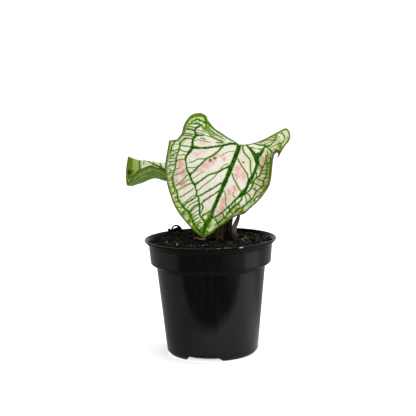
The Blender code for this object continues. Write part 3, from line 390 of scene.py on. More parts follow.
FRONT_FAINT_VEINS = (
    ((28.3, 51, 0.45), (28.5, 48), (28.8, 46.8), (30, 44.3), (32, 42), (33.5, 40.3), (34.4, 38, 0.35),
     (34.5, 35), (34.5, 32), (34.9, 29), (35.5, 27, 0.45)),
    ((24.3, 40, 0.35), (25.5, 37.8), (27, 35), (28.8, 32.3), (30.5, 29.8), (32, 27.8), (32.3, 26),
     (32.7, 24, 0.45)),
    ((19.8, 28, 0.35), (20.3, 25.8), (21.3, 23), (22.5, 21.2), (23.5, 19), (25, 16.3), (26.5, 14, 0.5)),
    ((13.3, 13.5, 0.25), (14, 10.5), (14.2, 8), (14.2, 5), (14.7, 2.5), (15.5, 0.8)),
    ((20.5, 12.5, 0.2), (20.5, 10), (21.8, 8.5)),
    ((12.2, -4, 0.25), (12.8, -6), (12.6, -8.5)),
    ((-1, 66.5, 0.2), (1.3, 64.5), (4.5, 61.8), (8, 59.5), (11.5, 57.8, 0.1)),
    ((-9.4, 61.4, 0.15), (-5.5, 60.8), (-1, 58.8), (3, 57.4, 0.05)),
    ((-8.6, 63.6, 0.15), (-5, 62.6), (-2.4, 61.2, 0.05)),
    ((-12, 54.6, 0.1), (-8, 55.6), (-4, 54.8), (2, 53.4, 0.05)),
    ((-3, 66.5, 0.15), (2, 62.8), (8, 58.4), (14, 55.6, 0.1)),
    ((-4.5, 64, 0.15), (0, 61), (6, 57), (12, 54.6, 0.05)),
    ((0, 68, 0.2), (4, 64.5), (9, 60.9), (15, 57.2), (20, 54.9, 0.1)),
    ((1, 59.6, 0.1), (7, 55.6), (13, 53.6)),
    ((-1.7, 40.1, 0.25), (-5, 40), (-8.5, 39.7), (-10.5, 38.5), (-15, 37, 0.2)),
    ((-9, 33.2, 0.2), (-12, 32.8), (-15.5, 33), (-17.4, 33)),
    ((7.5, 28, 0.2), (5, 25), (2, 22.5), (0, 21), (-2.5, 19), (-5, 17), (-7, 15), (-9, 14)),
    ((-14.8, 27.2, 0.3), (-17, 26.8), (-18.5, 25), (-20.3, 23), (-22, 21), (-24.5, 19.3), (-26.5, 18)),
    ((-11.4, 20.8, 0.3), (-14, 20), (-16.5, 18.9), (-20, 17), (-24.6, 14.4, 0.25)),
    ((-13, 24.2, 0.1), (-16, 23), (-19, 21.2), (-22.4, 18.8, 0.05)),
    ((-9.3, 11.2, 0.15), (-13, 9.2), (-17, 5.9), (-20.8, 3.2)),
    ((-7.2, 2, 0.2), (-9.6, 0.6), (-12, -1.6), (-14.8, -4, 0.15)),
    ((-6.9, -1.4, 0.2), (-9.4, -3), (-12, -5.2), (-14, -7, 0.15)),
    ((-5.8, -9.6, 0.2), (-7.8, -11), (-10.6, -13, 0.15)),
    ((-22.4, 33, 0.1), (-24.6, 32.2), (-27, 32, 0.15)),
    ((-19, 30.6, 0.1), (-23, 28.4), (-27.8, 26.6, 0.15)),
    ((46, 52.2, 0.05), (50, 53.4), (54, 56.2), (57, 59.4)),
    ((48, 50.2, 0.1), (51, 49.6), (54, 50.6), (57, 52.4, 0.05)),
    ((50, 56.8, 0.05), (54, 59.4), (58, 61.4)),
    ((53, 47.4, 0.05), (56, 49), (58.4, 53.6)),
    ((-12, 16, 0.25), (-12.5, 15.3), (-15.5, 13), (-18, 11.5), (-20, 10), (-23, 8.9)),
    ((-8.5, 5.8, 0.25), (-11, 4.7), (-14, 3), (-16, 1), (-17.4, -0.8)),
    ((-7, -5, 0.25), (-9.5, -6), (-12, -7.5), (-13, -8.5)),
    ((-7.7, -8, 0.3), (-9, -8.5), (-11, -10), (-12.3, -11)),
    ((-5, -12, 0.35), (-7, -12), (-8.3, -13.8), (-9, -15)),
    ((-23.5, 48, 0.3), (-26, 47.6), (-29.3, 46.9, 0.25)),
    ((-24.5, 45.2, 0.3), (-27, 44.5), (-29, 43.3), (-31.5, 42.6, 0.25)),
    ((-25.8, 41, 0.3), (-28.5, 40.6), (-32, 40, 0.25)),
    ((-26, 38.8, 0.2), (-31, 37.5)),
    ((-26.6, 35.5, 0.3), (-29, 35.2), (-33, 34)),
    ((-30.3, 30.5, 0.25), (-31, 29), (-32.5, 27.5), (-33.5, 27.3)),
    ((-29, 24, 0.3), (-30.5, 23), (-32, 22.5, 0.25)),
    ((-28.5, 18, 0.3), (-31, 17, 0.25)),
    ((-27, 14.5, 0.3), (-28, 12.5), (-29.3, 11.5, 0.25)),
    ((-24.8, 10, 0.3), (-27, 8.5, 0.25)),
    ((-24.2, 6, 0.3), (-25.5, 5.3), (-27, 5, 0.25)),
    ((-20.3, 1, 0.2), (-25.5, 0)),
    ((-18.2, -1.5, 0.3), (-19.7, -3.5), (-21.2, -5.3, 0.25)),
    ((-23.2, 51, 0.3), (-20, 50.5), (-17, 50.3), (-14, 49.8)),
    ((-23, 47.8, 0.3), (-21, 46.5), (-19, 46), (-17, 45.8)),
    ((-24.3, 43.2, 0.25), (-22, 43), (-20, 43.6), (-18.3, 43)),
    ((-25.8, 39, 0.25), (-22, 39.5), (-19, 40)),
    ((-12.5, 56.5, 0.3), (-15, 56.6), (-18, 57)),
    ((-10.8, 58.5, 0.3), (-14, 58.8), (-18, 59.3), (-20.5, 59.5)),
    ((-10.7, 60.3, 0.25), (-14, 60.2), (-17, 60.8), (-19.5, 61.2)),
    ((-9.8, 65.3, 0.25), (-12, 65.8), (-15, 66.8), (-17, 66.5)),
    ((-2.3, 56, 0.35), (-4, 56.6), (-6, 57.1, 0.25)),
    ((6.5, 53.2, 0.3), (12, 53.2)),
    OUTER_COLUMN,
    ((42, 53, 0.2), (46, 54.4), (50, 55.4), (53, 55.2), (55, 55.4)),
    ((44, 54.4, 0.2), (48, 56.4), (52, 57.6), (56, 57.4)),
    ((56, 60.6, 0.25), (58.5, 60.8), (60.8, 60.4)),
    ((45.2, 24.8, 0.3), (47, 24)),
    ((32, 12, 0.3), (33.5, 10.5), (34.3, 8.7), (35, 7.2)),
    ((30, 10, 0.25), (30.8, 8), (31.3, 6), (32, 4.2)),
    ((25.5, 2.8, 0.25), (25.8, 1), (26.3, -0.5)),
    ((28.3, 0.8, 0.3), (28, -1.5), (27.5, -3.5)),
    ((33.5, 5.5, 0.3), (35.5, 4.2)),
    ((38, 16.5, 0.3), (38.8, 14)),
    ((44.5, 30.5, 0.25), (47.8, 31.5)),
    ((43.5, 27.8, 0.25), (47.6, 27.8)),
    ((46.3, 36, 0.25), (50.8, 36.5)),
    ((47.3, 40.5, 0.25), (52.5, 41)),
    ((21.7, 46.2, 0.1), (17.5, 45.8), (14.7, 44.9), (10.6, 42.1, 0.05)),
    ((17, 35.7, 0.1), (14.1, 35.4), (9.5, 31.8, 0.05)),
    ((-3, 29.6, 0.05), (-6.3, 28.1), (-11.5, 24.3, 0.1)),
    ((39.4, 24.2, 0.25), (42, 23), (45.4, 22, 0.3)),
    ((36.8, 20.5, 0.25), (39.8, 19.2), (43.4, 17.2, 0.3)),
    ((35.4, 16.4, 0.25), (37.6, 15.4), (40.4, 14.2, 0.3)),
)
BACK_DARK_VEINS = (
    ((-6, 38.5, 1.3), (-16, 38.8), (-28, 39.4), (-37, 40.4, 0.7), (-43, 42.9), (-48.5, 46, 0.6), (-55, 50),
     (-61, 53.6, 0.3)),
    ((-7, 39.5, 0.8), (-9, 44), (-12, 50), (-17, 56), (-22, 59.5, 0.5), (-34, 63), (-46, 63.5, 0.35)),
    ((-6, 38, 0.7), (-1, 41.5), (2, 46), (1, 52), (-3, 57, 0.35)),
    ((-7, 37.8, 0.7), (-15, 34), (-25, 31), (-35, 29.5, 0.5), (-46, 29.5), (-56, 30), (-62, 33, 0.4)),
    ((-7, 37.4, 0.5), (-3, 34.5), (0, 32.5, 0.3)),
)
BACK_GREEN_VEINS = (
    ((-65.6, 56, 0.35), (-65.6, 50.5), (-65.4, 45), (-65.2, 40), (-64.8, 37, 0.3), (-65.2, 31),
     (-64.6, 27.5, 0.4)),
    ((-59, 55, 0.5), (-58.9, 48), (-58.5, 43), (-57.6, 38.5), (-57, 33.5), (-56, 30, 0.35)),
    ((-57.5, 39.5, 0.4), (-61, 38.7), (-65, 37.4)),
    ((-50.5, 47, 0.4), (-52.8, 55), (-54, 60.5, 0.3)),
    ((-40, 42, 0.4), (-42, 50), (-44, 57), (-45.5, 63, 0.3)),
    ((-28, 40, 0.4), (-30, 48), (-32.5, 56), (-34, 62.5, 0.3)),
    ((-18, 39.2, 0.4), (-20, 47), (-23, 54), (-24.5, 60, 0.3)),
    ((-46, 44.7, 0.4), (-50, 40), (-53, 34), (-54, 30, 0.3)),
    ((-34, 40.8, 0.4), (-38, 37), (-42, 32), (-43, 29.6, 0.3)),
    ((-22, 39.5, 0.35), (-26, 36), (-30, 31), (-31, 29.8, 0.3)),
    ((-64, 58, 0.4), (-54, 63), (-42, 66.8), (-28, 66.8), (-14, 63.8), (-4, 60), (3.5, 55.5),
     (6, 50, 0.3)),
)
BACK_FAINT_VEINS = (
    ((-46, 44.6, 0.25), (-47.5, 52), (-49, 59, 0.2)),
    ((-34, 41, 0.25), (-36, 50), (-38.5, 60, 0.2)),
    ((-23, 39.8, 0.25), (-26, 50), (-28.5, 58, 0.2)),
    ((-12, 39, 0.25), (-15, 46), (-18, 54, 0.2)),
    ((-40, 42, 0.25), (-44, 37), (-48, 30, 0.2)),
    ((-28, 40, 0.25), (-32, 35), (-36, 30, 0.2)),
    ((-55, 49.5, 0.25), (-55, 43, 0.2)),
)

# Soft patches on the blades by kind: two places in mm, the two half sizes in mm and the strength
FRONT_PATCHES = {
    "pink": (
        (-22.3, 36.3, 3.4, 4.4, 0.9), (-20.2, 29, 3.4, 3.4, 0.95), (-24.8, 28.2, 2.6, 3.4, 0.8),
        (-25.4, 22, 2.4, 3.4, 0.75), (-20.6, 19.3, 4, 3.2, 0.95), (-18, 22.5, 3, 3, 0.55),
        (2, 37.8, 4.4, 2.8, 0.85), (-2, 34.6, 4.6, 3, 0.9), (-7, 30.8, 3.6, 2.2, 0.6),
        (8.5, 43.2, 6, 3, 0.6), (-4.5, 46, 6, 2, 0.5), (13, 39.8, 2, 2.2, 0.8), (-3.8, 53.8, 5, 2.2, 0.55),
        (24.2, 32, 3.2, 3.8, 0.85), (23.6, 26.8, 3, 4.2, 0.9), (28.5, 27, 3.4, 6, 0.7),
        (-9, 44, 5, 4, 0.45), (21.9, 15.9, 3, 4, 0.9), (17, 12.4, 3, 4.6, 0.8), (16.3, 7.3, 2.6, 4, 0.75),
        (12.2, 5.1, 2.4, 4.2, 0.95), (11.2, 0.3, 3, 3.2, 0.95), (7.8, -2.6, 2.6, 2.4, 0.9),
        (10.6, -7.6, 2.2, 2.4, 0.85), (47.2, 45.8, 2.4, 2, 0.8), (44.5, 38.4, 2.4, 3.6, 0.5),
        (53.5, 48.7, 3.4, 1.8, 0.65), (1, 4.5, 4, 3, 0.25), (3.5, -9.5, 1.6, 2, 0.35), (33, 9, 3, 3, 0.3),
        (38, 20, 2, 3, 0.3), (59, 56.5, 2, 2, 0.2),
    ),
    "tan": (
        (51, 37, 6, 9, 1), (50.2, 27, 5.6, 8, 1), (47, 18.5, 6, 6, 0.9), (43.5, 30, 2.6, 4, 0.8),
        (41, 21, 3, 3.6, 0.75), (44, 25, 2.4, 3, 0.7), (52, 43, 2.6, 4, 1), (38.5, 16.5, 2.4, 3, 0.5),
        (-18, 21.5, 2, 2, 0.3), (-1.5, 27.6, 1.5, 1, 0.3), (56, 46.5, 3, 1.6, 0.9), (41, 12, 4, 4, 0.55),
        (34, 5, 4, 4, 0.3), (50.5, 46, 2, 1.6, 0.5), (42, 33, 3, 5, 0.8), (45.5, 31, 3, 6, 0.9),
        (42.5, 24, 3.4, 4, 0.8), (39, 18, 3, 3.4, 0.6), (34, 11, 4, 4, 0.5), (38, 14, 4, 4, 0.45),
        # The tan patch at (57, 54) is painted shade that darkens the right lobe
        (57, 54, 5, 4, 0.55), (50, 56, 5, 3, 0.35), (64.5, 56, 1.6, 6, 0.5), (44, 53, 6, 2, 0.35),
        (31, 38, 5, 9, 0.3), (-9, 44, 6, 4, 0.3), (48, 53, 6, 3, 0.35), (36, 45, 2, 3, 0.2),
        (33, 33, 3, 6, 0.25), (35, 40, 3, 8, 0.3), (44.5, 39, 3, 4.5, 0.9), (30, 26, 4, 6, 0.25),
        (49, 33, 3, 6, 1), (46, 36, 3, 5, 0.9),
    ),
    "lime": (
        (-2.8, -18, 7, 8, 1), (12, -10, 9, 4, 0.9), (24, -2, 8, 4, 0.8), (36, 5.5, 6, 5, 0.55),
        (45, 14, 5, 5, 0.35), (-9, 72.5, 8, 5, 0.85), (-2, 71, 4, 6, 0.9), (6, 64, 6, 3, 0.35),
        (15, 58.5, 6, 1.8, 0.35), (52, 57, 8, 3, 0.85), (63, 56, 2.2, 7, 0.8), (-14, -9, 5, 6, 0.7),
        (-25, 3, 4, 9, 0.75), (-31.5, 25, 2.5, 14, 0.55), (-30, 48, 3, 7, 0.6), (-17, -5, 5, 5, 0.7),
        # The lime patches at (54, 51.5) and (45, 49) are painted shade that darkens the right lobe
        (-19, 4, 4, 6, 0.4), (54, 51.5, 9, 4, 0.5), (45, 49, 5, 2.5, 0.35), (-18.5, 66, 4, 7, 0.6),
        (-14, 62, 4, 3, 0.5), (-1, -2, 3, 3, 0.7), (-23, 56, 4, 2, 0.6), (45, 43, 2, 2, 0.5),
        (-2, 63, 6, 4, 0.45), (6, 57.5, 8, 3, 0.4), (-8, 61, 3, 4, 0.3), (-29, 13, 3, 7, 0.9),
        (33, 50, 5, 2, 0.4), (34.9, 39, 2.8, 9.5, 0.75), (30, 42, 5, 9, 0.25), (39, 24, 4, 6, 0.4),
        (37, 14, 4, 5, 0.35), (-13, 0, 3, 5, 0.5), (-3.5, -6.5, 2.4, 2.4, 0.8),
    ),
    "spot": (
        (1.9, 38.9, 1.4, 1.6, 0.69), (5.6, 40.5, 1.8, 1.3, 0.69), (-8, 29.3, 0.6, 0.6, 0.5),
        (28.7, 37.1, 1.7, 1.5, 0.46), (2.8, -6.8, 1.05, 1.25, 1.6), (37.4, 52.6, 1.4, 1, 0.8),
        (6.5, 35.2, 0.5, 0.5, 0.4),
    ),
    "pale": (
        (-2.2, -7.6, 1.3, 1.3, 1), (2.6, -17.5, 1.4, 2, 0.95), (3.6, -13.8, 1.6, 2.6, 1),
        (-5, -14, 1.2, 1.6, 0.8), (-8, -10, 1.8, 1.8, 0.8), (-1.6, -21, 0.9, 0.9, 0.6),
        (62.2, 55, 0.6, 2.4, 0.6), (63.4, 59.5, 0.6, 2, 0.5),
    ),
    "deep": (
        (-3.4, -21.5, 5.2, 4.4, 1), (0.2, -12, 2.8, 5.4, 1), (-9, -12, 2, 3, 0.5), (-13, -6, 1.2, 2, 0.6),
        (-15.4, -2.6, 1.4, 1.6, 0.7), (-20, -3.4, 2, 4, 0.45), (-4.6, -17.5, 2.6, 3, 1),
        (1.8, -6.5, 2.4, 2.2, 0.9), (-1.3, 71, 1.8, 5, 1), (1.6, 67.5, 2, 2, 0.7), (-6, 76.4, 5, 0.9, 0.6),
        (-16.5, 71.5, 1.4, 3, 0.4), (-19.3, 65, 1.1, 5, 0.4), (9, -13.4, 8, 1.6, 0.75),
        (18, -7.4, 6, 1.2, 0.7), (-15.5, -10, 1.6, 4, 0.7), (-10, -16, 3, 3, 0.8), (59.3, 48.5, 1.6, 3, 1),
        (65.3, 60, 1, 4, 0.45), (62.5, 64, 3, 1, 0.5), (28, -3.4, 6, 1.3, 0.7), (3.5, -4.5, 1.6, 1.6, 0.6),
        (-5.5, -20, 3, 3, 0.8), (17.8, -2.4, 1.4, 2, 0.7),
    ),
    "calm": (
        (2, 67, 6, 5, 1), (9, 61, 6, 4, 1), (16, 57.5, 6, 4, 1), (23, 52, 6, 5, 1), (31, 50, 7, 5, 1),
        (40, 51, 6, 4, 1), (48, 54, 7, 4, 0.9), (56, 55, 4, 4, 0.6),
    ),
}
BACK_PATCHES = {
    "pink": (
        (-30, 50, 6, 5, 0.5), (-18, 44, 4, 3, 0.6), (-40, 56, 5, 4, 0.4), (-26, 35, 5, 2, 0.5),
    ),
    "tan": (
        (-68.4, 49, 1.6, 8, 0.5), (-65.4, 48, 0.8, 6, 0.7),
    ),
    "lime": (
        (-62, 47, 4.4, 12, 2.2), (-62.4, 40, 4.4, 4, 2), (-66, 31, 5, 5, 1.6), (-64, 28, 3, 3, 1),
        (-66.6, 33.5, 2.4, 4, 2), (-64, 36, 2, 2, 1), (-30, 67, 30, 3, 0.7), (-30, 25, 40, 3, 0.7),
        (4, 46, 5, 12, 0.7),
    ),
    "spot": (
        (-67.3, 40.2, 1.5, 1.7, 0.72), (-67.4, 28.2, 1.3, 0.9, 0.6),
    ),
    "pale": (
        (-49, 50, 5, 4, 0.4), (-41, 46, 3, 3, 0.4),
    ),
    "deep": (
        (-67.9, 49, 2.6, 8, 1.3), (-67.6, 40, 2.8, 5, 1.3), (-68.5, 31, 2, 5, 0.9),
        (-65.8, 34.5, 1.5, 2.5, 0.8), (-30, 68, 34, 1.4, 0.8), (-30, 23.2, 34, 1, 0.7),
    ),
}

# Fine cross veins between two lines: spacing, slant, shortest reach from 0 to 1, and widest gap to cross
RUNG_ROWS = (
    (FRONT_MARGIN[3], LEFT_COLLECTOR, 3.6, -1.5, 0.5, 13),
    (FRONT_MARGIN[4], OUTER_COLUMN, 2.8, 0.5, 0.95, 6),
    (OUTER_COLUMN, RIGHT_COLLECTOR, 2.9, 0.5, 0.95, 7),
    (RIGHT_COLLECTOR, RIGHT_INNER, 3.4, 0, 0.95, 8),
)

# Stems: points in mm, and their radii in mm from the foot to the top
FRONT_STALK = ((14.3, 4, 78), (14.3, 4, 91), (15.2, 5.5, 103), (18, 9.6, 120), (20.8, 13.6, 136),
               (23, 16.4, 149), (24.2, 16.2, 159))
FRONT_STALK_RADII = (3.0, 2.7, 1.6)
BACK_STALK = ((12, 9.6, 78), (12, 9.6, 91), (12.2, 12.2, 103), (9.8, 17.5, 115), (5, 25, 127),
              (-1, 32.5, 137))
BACK_STALK_RADII = (2.7, 2.4, 1.35)
SHOOT = ((19.4, 4.4, 80), (19.4, 4.4, 91), (19.4, 4.4, 97.7), (19.9, 4.4, 102.2), (22.8, 4.2, 108.9),
         (24, 3.8, 112.6))
SHOOT_RADII = (2.2, 2.2, 2.2, 2.15, 1.95, 1.0)
SHEATH = ((7.4, -0.8, 82.2), (7.4, -0.8, 91), (7.7, 0, 96), (8.6, 1.6, 101), (9.7, 3.4, 106))
SHEATH_RADII = (3.1, 3.1, 2.9, 2.6, 1.9)
ROOT_LOOP = ((-32.7, 35, 93.5), (-32.3, 35.2, 97.6), (-30.8, 35.4, 99.5), (-28.6, 35.4, 100.1),
             (-26.5, 35.2, 99.1), (-25.2, 35.1, 97), (-24, 35, 92.5))
ROOT_LOOP_RADII = (0.5, 0.58, 0.64, 0.76, 1.1, 1.6, 1.9)
# The curl at the fold of the right lobe: right, up and depth, and its half widths
CURL = ((54, 43.6, 25.5), (54.6, 44.9, 25), (55.7, 45.7, 24.6), (56.9, 45.5, 24.4), (57.7, 44.6, 24.4),
        (57.7, 43.2, 24.6), (57.1, 41.9, 25), (56.2, 41.2, 25.4))
CURL_RADII = (0.4, 0.55, 0.6, 0.6, 0.55, 0.5, 0.45, 0.35)
CURL_FLATNESS = 0.6
STALK_SIDES = 28
STRAND_SIDES = 12
STALK_RING_SPACING = 0.8
STALK_TWIST = 0.3
SHOOT_TWIST = 1.4
FIRST_SIDE = (0.3, 1, 0.1)
TIP_REACH = 0.5

# How bright a white card is where the leaves are, so that colours read off the photograph fit
LEAF_LIGHT = 1.12


def view_axes():
    """The viewer's right, up and forward directions."""
    forward = Vector((0, math.cos(VIEW_TILT), -math.sin(VIEW_TILT)))
    level_right = Vector((1, 0, 0))
    level_up = level_right.cross(forward)
    right = math.cos(VIEW_ROLL) * level_right + math.sin(VIEW_ROLL) * level_up
    up = math.cos(VIEW_ROLL) * level_up - math.sin(VIEW_ROLL) * level_right
    return right, up, forward


def seen_at(x, z, depth):
    """Points that the viewer sees right and up of the aim, carried back along the sight line."""
    right, up, forward = (np.array(axis[:]) for axis in view_axes())
    aim = np.array(VIEW_AIM[:])
    eye = aim - VIEW_DISTANCE * forward
    on_plane = aim + (x[:, None] * right + z[:, None] * up) * MM
    return eye + (on_plane - eye) * (1 + depth[:, None] * MM / VIEW_DISTANCE)


def in_plan(x, y, z):
    """Points at these places in plan and heights, all in mm."""
    return np.column_stack((x, y, z)) * MM


def spline_through(points, spacing, least=1, counted=2):
    """A smooth curve's points, about this far apart by as many coordinates as are counted."""
    points = np.array(points, float)
    out = []
    for i in range(len(points) - 1):
        b, c = points[i], points[i + 1]
        a = points[i - 1] if i else b * 2 - c
        d = points[i + 2] if i + 2 < len(points) else c * 2 - b
        steps = max(least, round(float(np.linalg.norm((c - b)[:counted])) / spacing))
        for k in range(steps):
            t = k / steps
            out.append(0.5 * (2 * b + (c - a) * t + (2 * a - 5 * b + 4 * c - d) * t * t
                              + (3 * b - a - 3 * c + d) * t ** 3))
    return np.array(out + [points[-1]])


def outline_of(runs, spacing):
    """A closed outline from runs of points that meet at corners."""
    return np.vstack([spline_through(run, spacing)[:-1] for run in runs])


def closed(line):
    """The line with its first point again at its end."""
    return np.vstack((line, line[:1]))


def inside(points, outline):
    """Which points lie inside the closed outline."""
    x, y = points[:, 0], points[:, 1]
    found = np.zeros(len(points), bool)
    for a, b in zip(outline, np.roll(outline, -1, 0)):
        crosses = (a[1] > y) != (b[1] > y)
        rise = b[1] - a[1]
        found ^= crosses & (x < a[0] + (y - a[1]) * (b[0] - a[0]) / (rise if rise else 1))
    return found


def to_line(points, line):
    """How far each point is from the line, and how far along it the nearest place is, from 0 to 1."""
    best = np.full(len(points), 1e9)
    where = np.zeros(len(points))
    for k, (a, b) in enumerate(zip(line[:-1, :2], line[1:, :2])):
        along = b - a
        t = np.clip((points - a) @ along / max(along @ along, 1e-12), 0, 1)
        away = np.hypot(*(points - a - t[:, None] * along).T)
        nearer = away < best
        best[nearer] = away[nearer]
        where[nearer] = (k + t[nearer]) / (len(line) - 1)
    return best, where


class Sheet:
    """A smooth surface through scattered points, as a thin plate bends through them."""

    def __init__(self, samples):
        data = np.array(samples, float)
        self.places = data[:, :2]
        n = len(data)
        system = np.zeros((n + 3, n + 3))
        system[:n, :n] = self.kernel(self.places)
        system[:n, n] = system[n, :n] = 1
        system[:n, n + 1:] = self.places
        system[n + 1:, :n] = self.places.T
        self.weights = np.linalg.solve(system, np.append(data[:, 2], (0, 0, 0)))

    def kernel(self, points):
        """How strongly each sample pulls at each point."""
        square = ((points[:, None] - self.places[None]) ** 2).sum(-1)
        return 0.5 * square * np.log(np.maximum(square, 1e-12))

    def __call__(self, points):
        """The height of the sheet at each point."""
        return self.kernel(points) @ self.weights[:-3] + self.weights[-3] + points @ self.weights[-2:]


class Vein:
    """A vein's course as close points, and its half width at each."""

    def __init__(self, points):
        marks = [k for k, p in enumerate(points) if len(p) == 3]
        widths = np.interp(range(len(points)), marks, [points[k][2] for k in marks])
        rows = [(p[0], p[1], width) for p, width in zip(points, widths)]
        self.line = spline_through(rows, VEIN_SPACING)
        self.half_widths = np.maximum(self.line[:, 2], LEAST_HALF_WIDTH)

    def near(self, points):
        """Which points the vein may reach, how far they are from its middle, and its half width there."""
        low = self.line[:, :2].min(0) - FIELD_REACH - 2
        high = self.line[:, :2].max(0) + FIELD_REACH + 2
        picked = np.flatnonzero(((points > low) & (points < high)).all(1))
        away, along = to_line(points[picked], self.line)
        ends = np.linspace(0, 1, len(self.line))
        return picked, away, np.interp(along, ends, self.half_widths)


def rungs(outer, inner, spacing, slant, shortest, longest, random):
    """Fine veins that cross from one line to the other, some of them only part of the way."""
    outer, inner = (spline_through([p[:2] for p in line], VEIN_SPACING) for line in (outer, inner))
    run = np.append(0, np.cumsum(np.linalg.norm(np.diff(outer, axis=0), axis=1)))
    found = []
    at = spacing
    while at < run[-1] - spacing:
        start = np.array([np.interp(at, run, outer[:, k]) for k in (0, 1)])
        nearest = int(np.linalg.norm(inner - start, axis=1).argmin())
        end = inner[min(len(inner) - 1, max(0, nearest + round(slant / VEIN_SPACING)))]
        across = end - start
        reach = random.uniform(shortest, 1)
        first = 0.0 if random.uniform(0, 1) < RUNGS_FROM_OUTER else 1 - reach
        sway = np.array((-across[1], across[0])) * random.normal(0, RUNG_SWAY, RUNG_POINTS)[:, None]
        steps = np.linspace(first, first + reach, RUNG_POINTS)[:, None]
        half = random.uniform(*RUNG_HALF_WIDTHS)
        if np.linalg.norm(across) < longest:
            found.append([(x, y, half) for x, y in start + steps * across + sway])
        at += spacing * random.uniform(*RUNG_SPREAD)
    return found


def vein_field(points, veins, swell):
    """Signed distance from the edge of the nearest vein, and the height of the round rib under it."""
    field = np.full(len(points), FIELD_REACH)
    rib = np.zeros(len(points))
    for vein in veins:
        picked, away, half = vein.near(points)
        field[picked] = np.minimum(field[picked], away - half - swell)
        across = away / (RIB_SPREAD * half + RIB_SKIRT)
        round_rib = half * np.sqrt(np.clip(1 - across ** 2, 0, 1))
        rib[picked] = np.maximum(rib[picked], round_rib)
    return field, rib


def patch_field(points, patches):
    """The strongest of soft round patches at each point."""
    field = np.zeros(len(points))
    for x, y, across, along, strength in patches:
        out = ((points[:, 0] - x) / across) ** 2 + ((points[:, 1] - y) / along) ** 2
        field = np.maximum(field, strength * np.exp(-out * PATCH_FALL))
    return field


def hex_grid(outline, spacing):
    """Evenly spread points over the outline's box."""
    low, high = outline.min(0), outline.max(0)
    rows = []
    for k, y in enumerate(np.arange(low[1], high[1], spacing * math.sqrt(3) / 2)):
        x = np.arange(low[0] + (spacing / 2 if k % 2 else 0), high[0], spacing)
        rows.append(np.column_stack((x, np.full(len(x), y))))
    return np.vstack(rows)


def filled(outline, extra, spacing):
    """Points and triangles that fill the outline: its own points, the extra ones and an even grid."""
    kept = [tuple(p) for p in outline]
    groups = ((extra, VEIN_CLEARANCE * VEIN_SPACING), (hex_grid(outline, spacing), GRID_CLEARANCE * spacing))
    for group, clearance in groups:
        tree = kdtree.KDTree(len(kept))
        for k, p in enumerate(kept):
            tree.insert((p[0], p[1], 0), k)
        tree.balance()
        cells = set()
        for p in group[inside(group, outline)]:
            cell = (round(p[0] / clearance), round(p[1] / clearance))
            if cell not in cells and tree.find((p[0], p[1], 0))[2] >= clearance:
                cells.add(cell)
                kept.append(tuple(p))
    ring = list(range(len(outline)))
    found = delaunay_2d_cdt([Vector(p) for p in kept], [], [ring], 1, 1e-5)
    return np.array([p[:] for p in found[0]]), np.array([f for f in found[2] if len(f) == 3])


def unit(vectors):
    """The vectors at length 1."""
    return vectors / np.maximum(np.linalg.norm(vectors, axis=1, keepdims=True), 1e-12)


def vertex_normals(places, faces):
    """The direction that the surface faces at each point."""
    a, b, c = (places[faces[:, k]] for k in range(3))
    across = np.cross(b - a, c - a)
    normals = np.zeros_like(places)
    for k in range(3):
        np.add.at(normals, faces[:, k], across)
    return unit(normals)


def new_piece(name, verts, faces, materials, slot, node=None, fields=None):
    """A smooth mesh on the part's one body, with the fields as a number for each of its points."""
    mesh = bpy.data.meshes.new(name)
    mesh.from_pydata(np.asarray(verts).tolist(), [], [list(map(int, f)) for f in faces])
    mesh.shade_smooth()
    for material in materials:
        mesh.materials.append(material)
    for kind, values in (fields or {}).items():
        data = mesh.attributes.new(kind, "FLOAT", "POINT").data
        data.foreach_set("value", np.asarray(values, np.float32))
    return settle(bpy.data.objects.new(name, mesh), slot, node)


def settle(piece, slot, node=None):
    """Puts a piece in the scene on the part's one body, in place of a node if one is named."""
    bpy.context.scene.collection.objects.link(piece)
    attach(piece, "root")
    if node:
        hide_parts(node)
    return piece


class Blade:
    """A leaf blade's drawing and the surface that it lies on."""

    def __init__(self, runs, samples, place, wave):
        self.wave = wave
        self.edge = outline_of(runs, EDGE_SPACING)
        self.wave_line = closed(outline_of(runs, MARGIN_SPACING))
        self.sheet = Sheet(samples)
        self.place = place

    def upper(self, points):
        """Places on the upper face."""
        away, along = to_line(points, self.wave_line)
        fade = np.clip(1 - away / MARGIN_WAVE_DEPTH, 0, 1) ** 2
        wave = self.wave * fade * np.sin(2 * math.pi * MARGIN_WAVES * along)
        return self.place(points[:, 0], points[:, 1], self.sheet(points) + wave)

    def joint(self, point):
        """The place in the thick of the midrib where the stalk ends."""
        around = np.array((point, (point[0] + 0.5, point[1]), (point[0], point[1] + 0.5)), float)
        at = self.upper(around)
        normal = np.cross(at[1] - at[0], at[2] - at[0])
        return at[0] - normal / np.linalg.norm(normal) * JOINT_DEPTH * MM


def round_rim(top, bottom, normals, faces):
    """The numbers of the top's rim points, the points that round the edge, and the faces that close it."""
    n = len(top)
    pairs = np.vstack([faces[:, [0, 1]], faces[:, [1, 2]], faces[:, [2, 0]]])
    _, first, counts = np.unique(np.sort(pairs, 1), axis=0, return_index=True, return_counts=True)
    rim = pairs[first[counts == 1]]
    outward = np.zeros_like(top)
    away = np.cross(top[rim[:, 1]] - top[rim[:, 0]], normals[rim[:, 0]])
    for end in (0, 1):
        np.add.at(outward, rim[:, end], away)
    ring = np.unique(rim)
    middle = (top[ring] + bottom[ring]) / 2 + unit(outward[ring]) * EDGE_ROUNDING * MM
    number = np.zeros(n, int)
    number[ring] = 2 * n + np.arange(len(ring))
    side = [(b, a, number[a], number[b]) for a, b in rim]
    side += [(number[b], number[a], a + n, b + n) for a, b in rim]
    return ring, middle, side


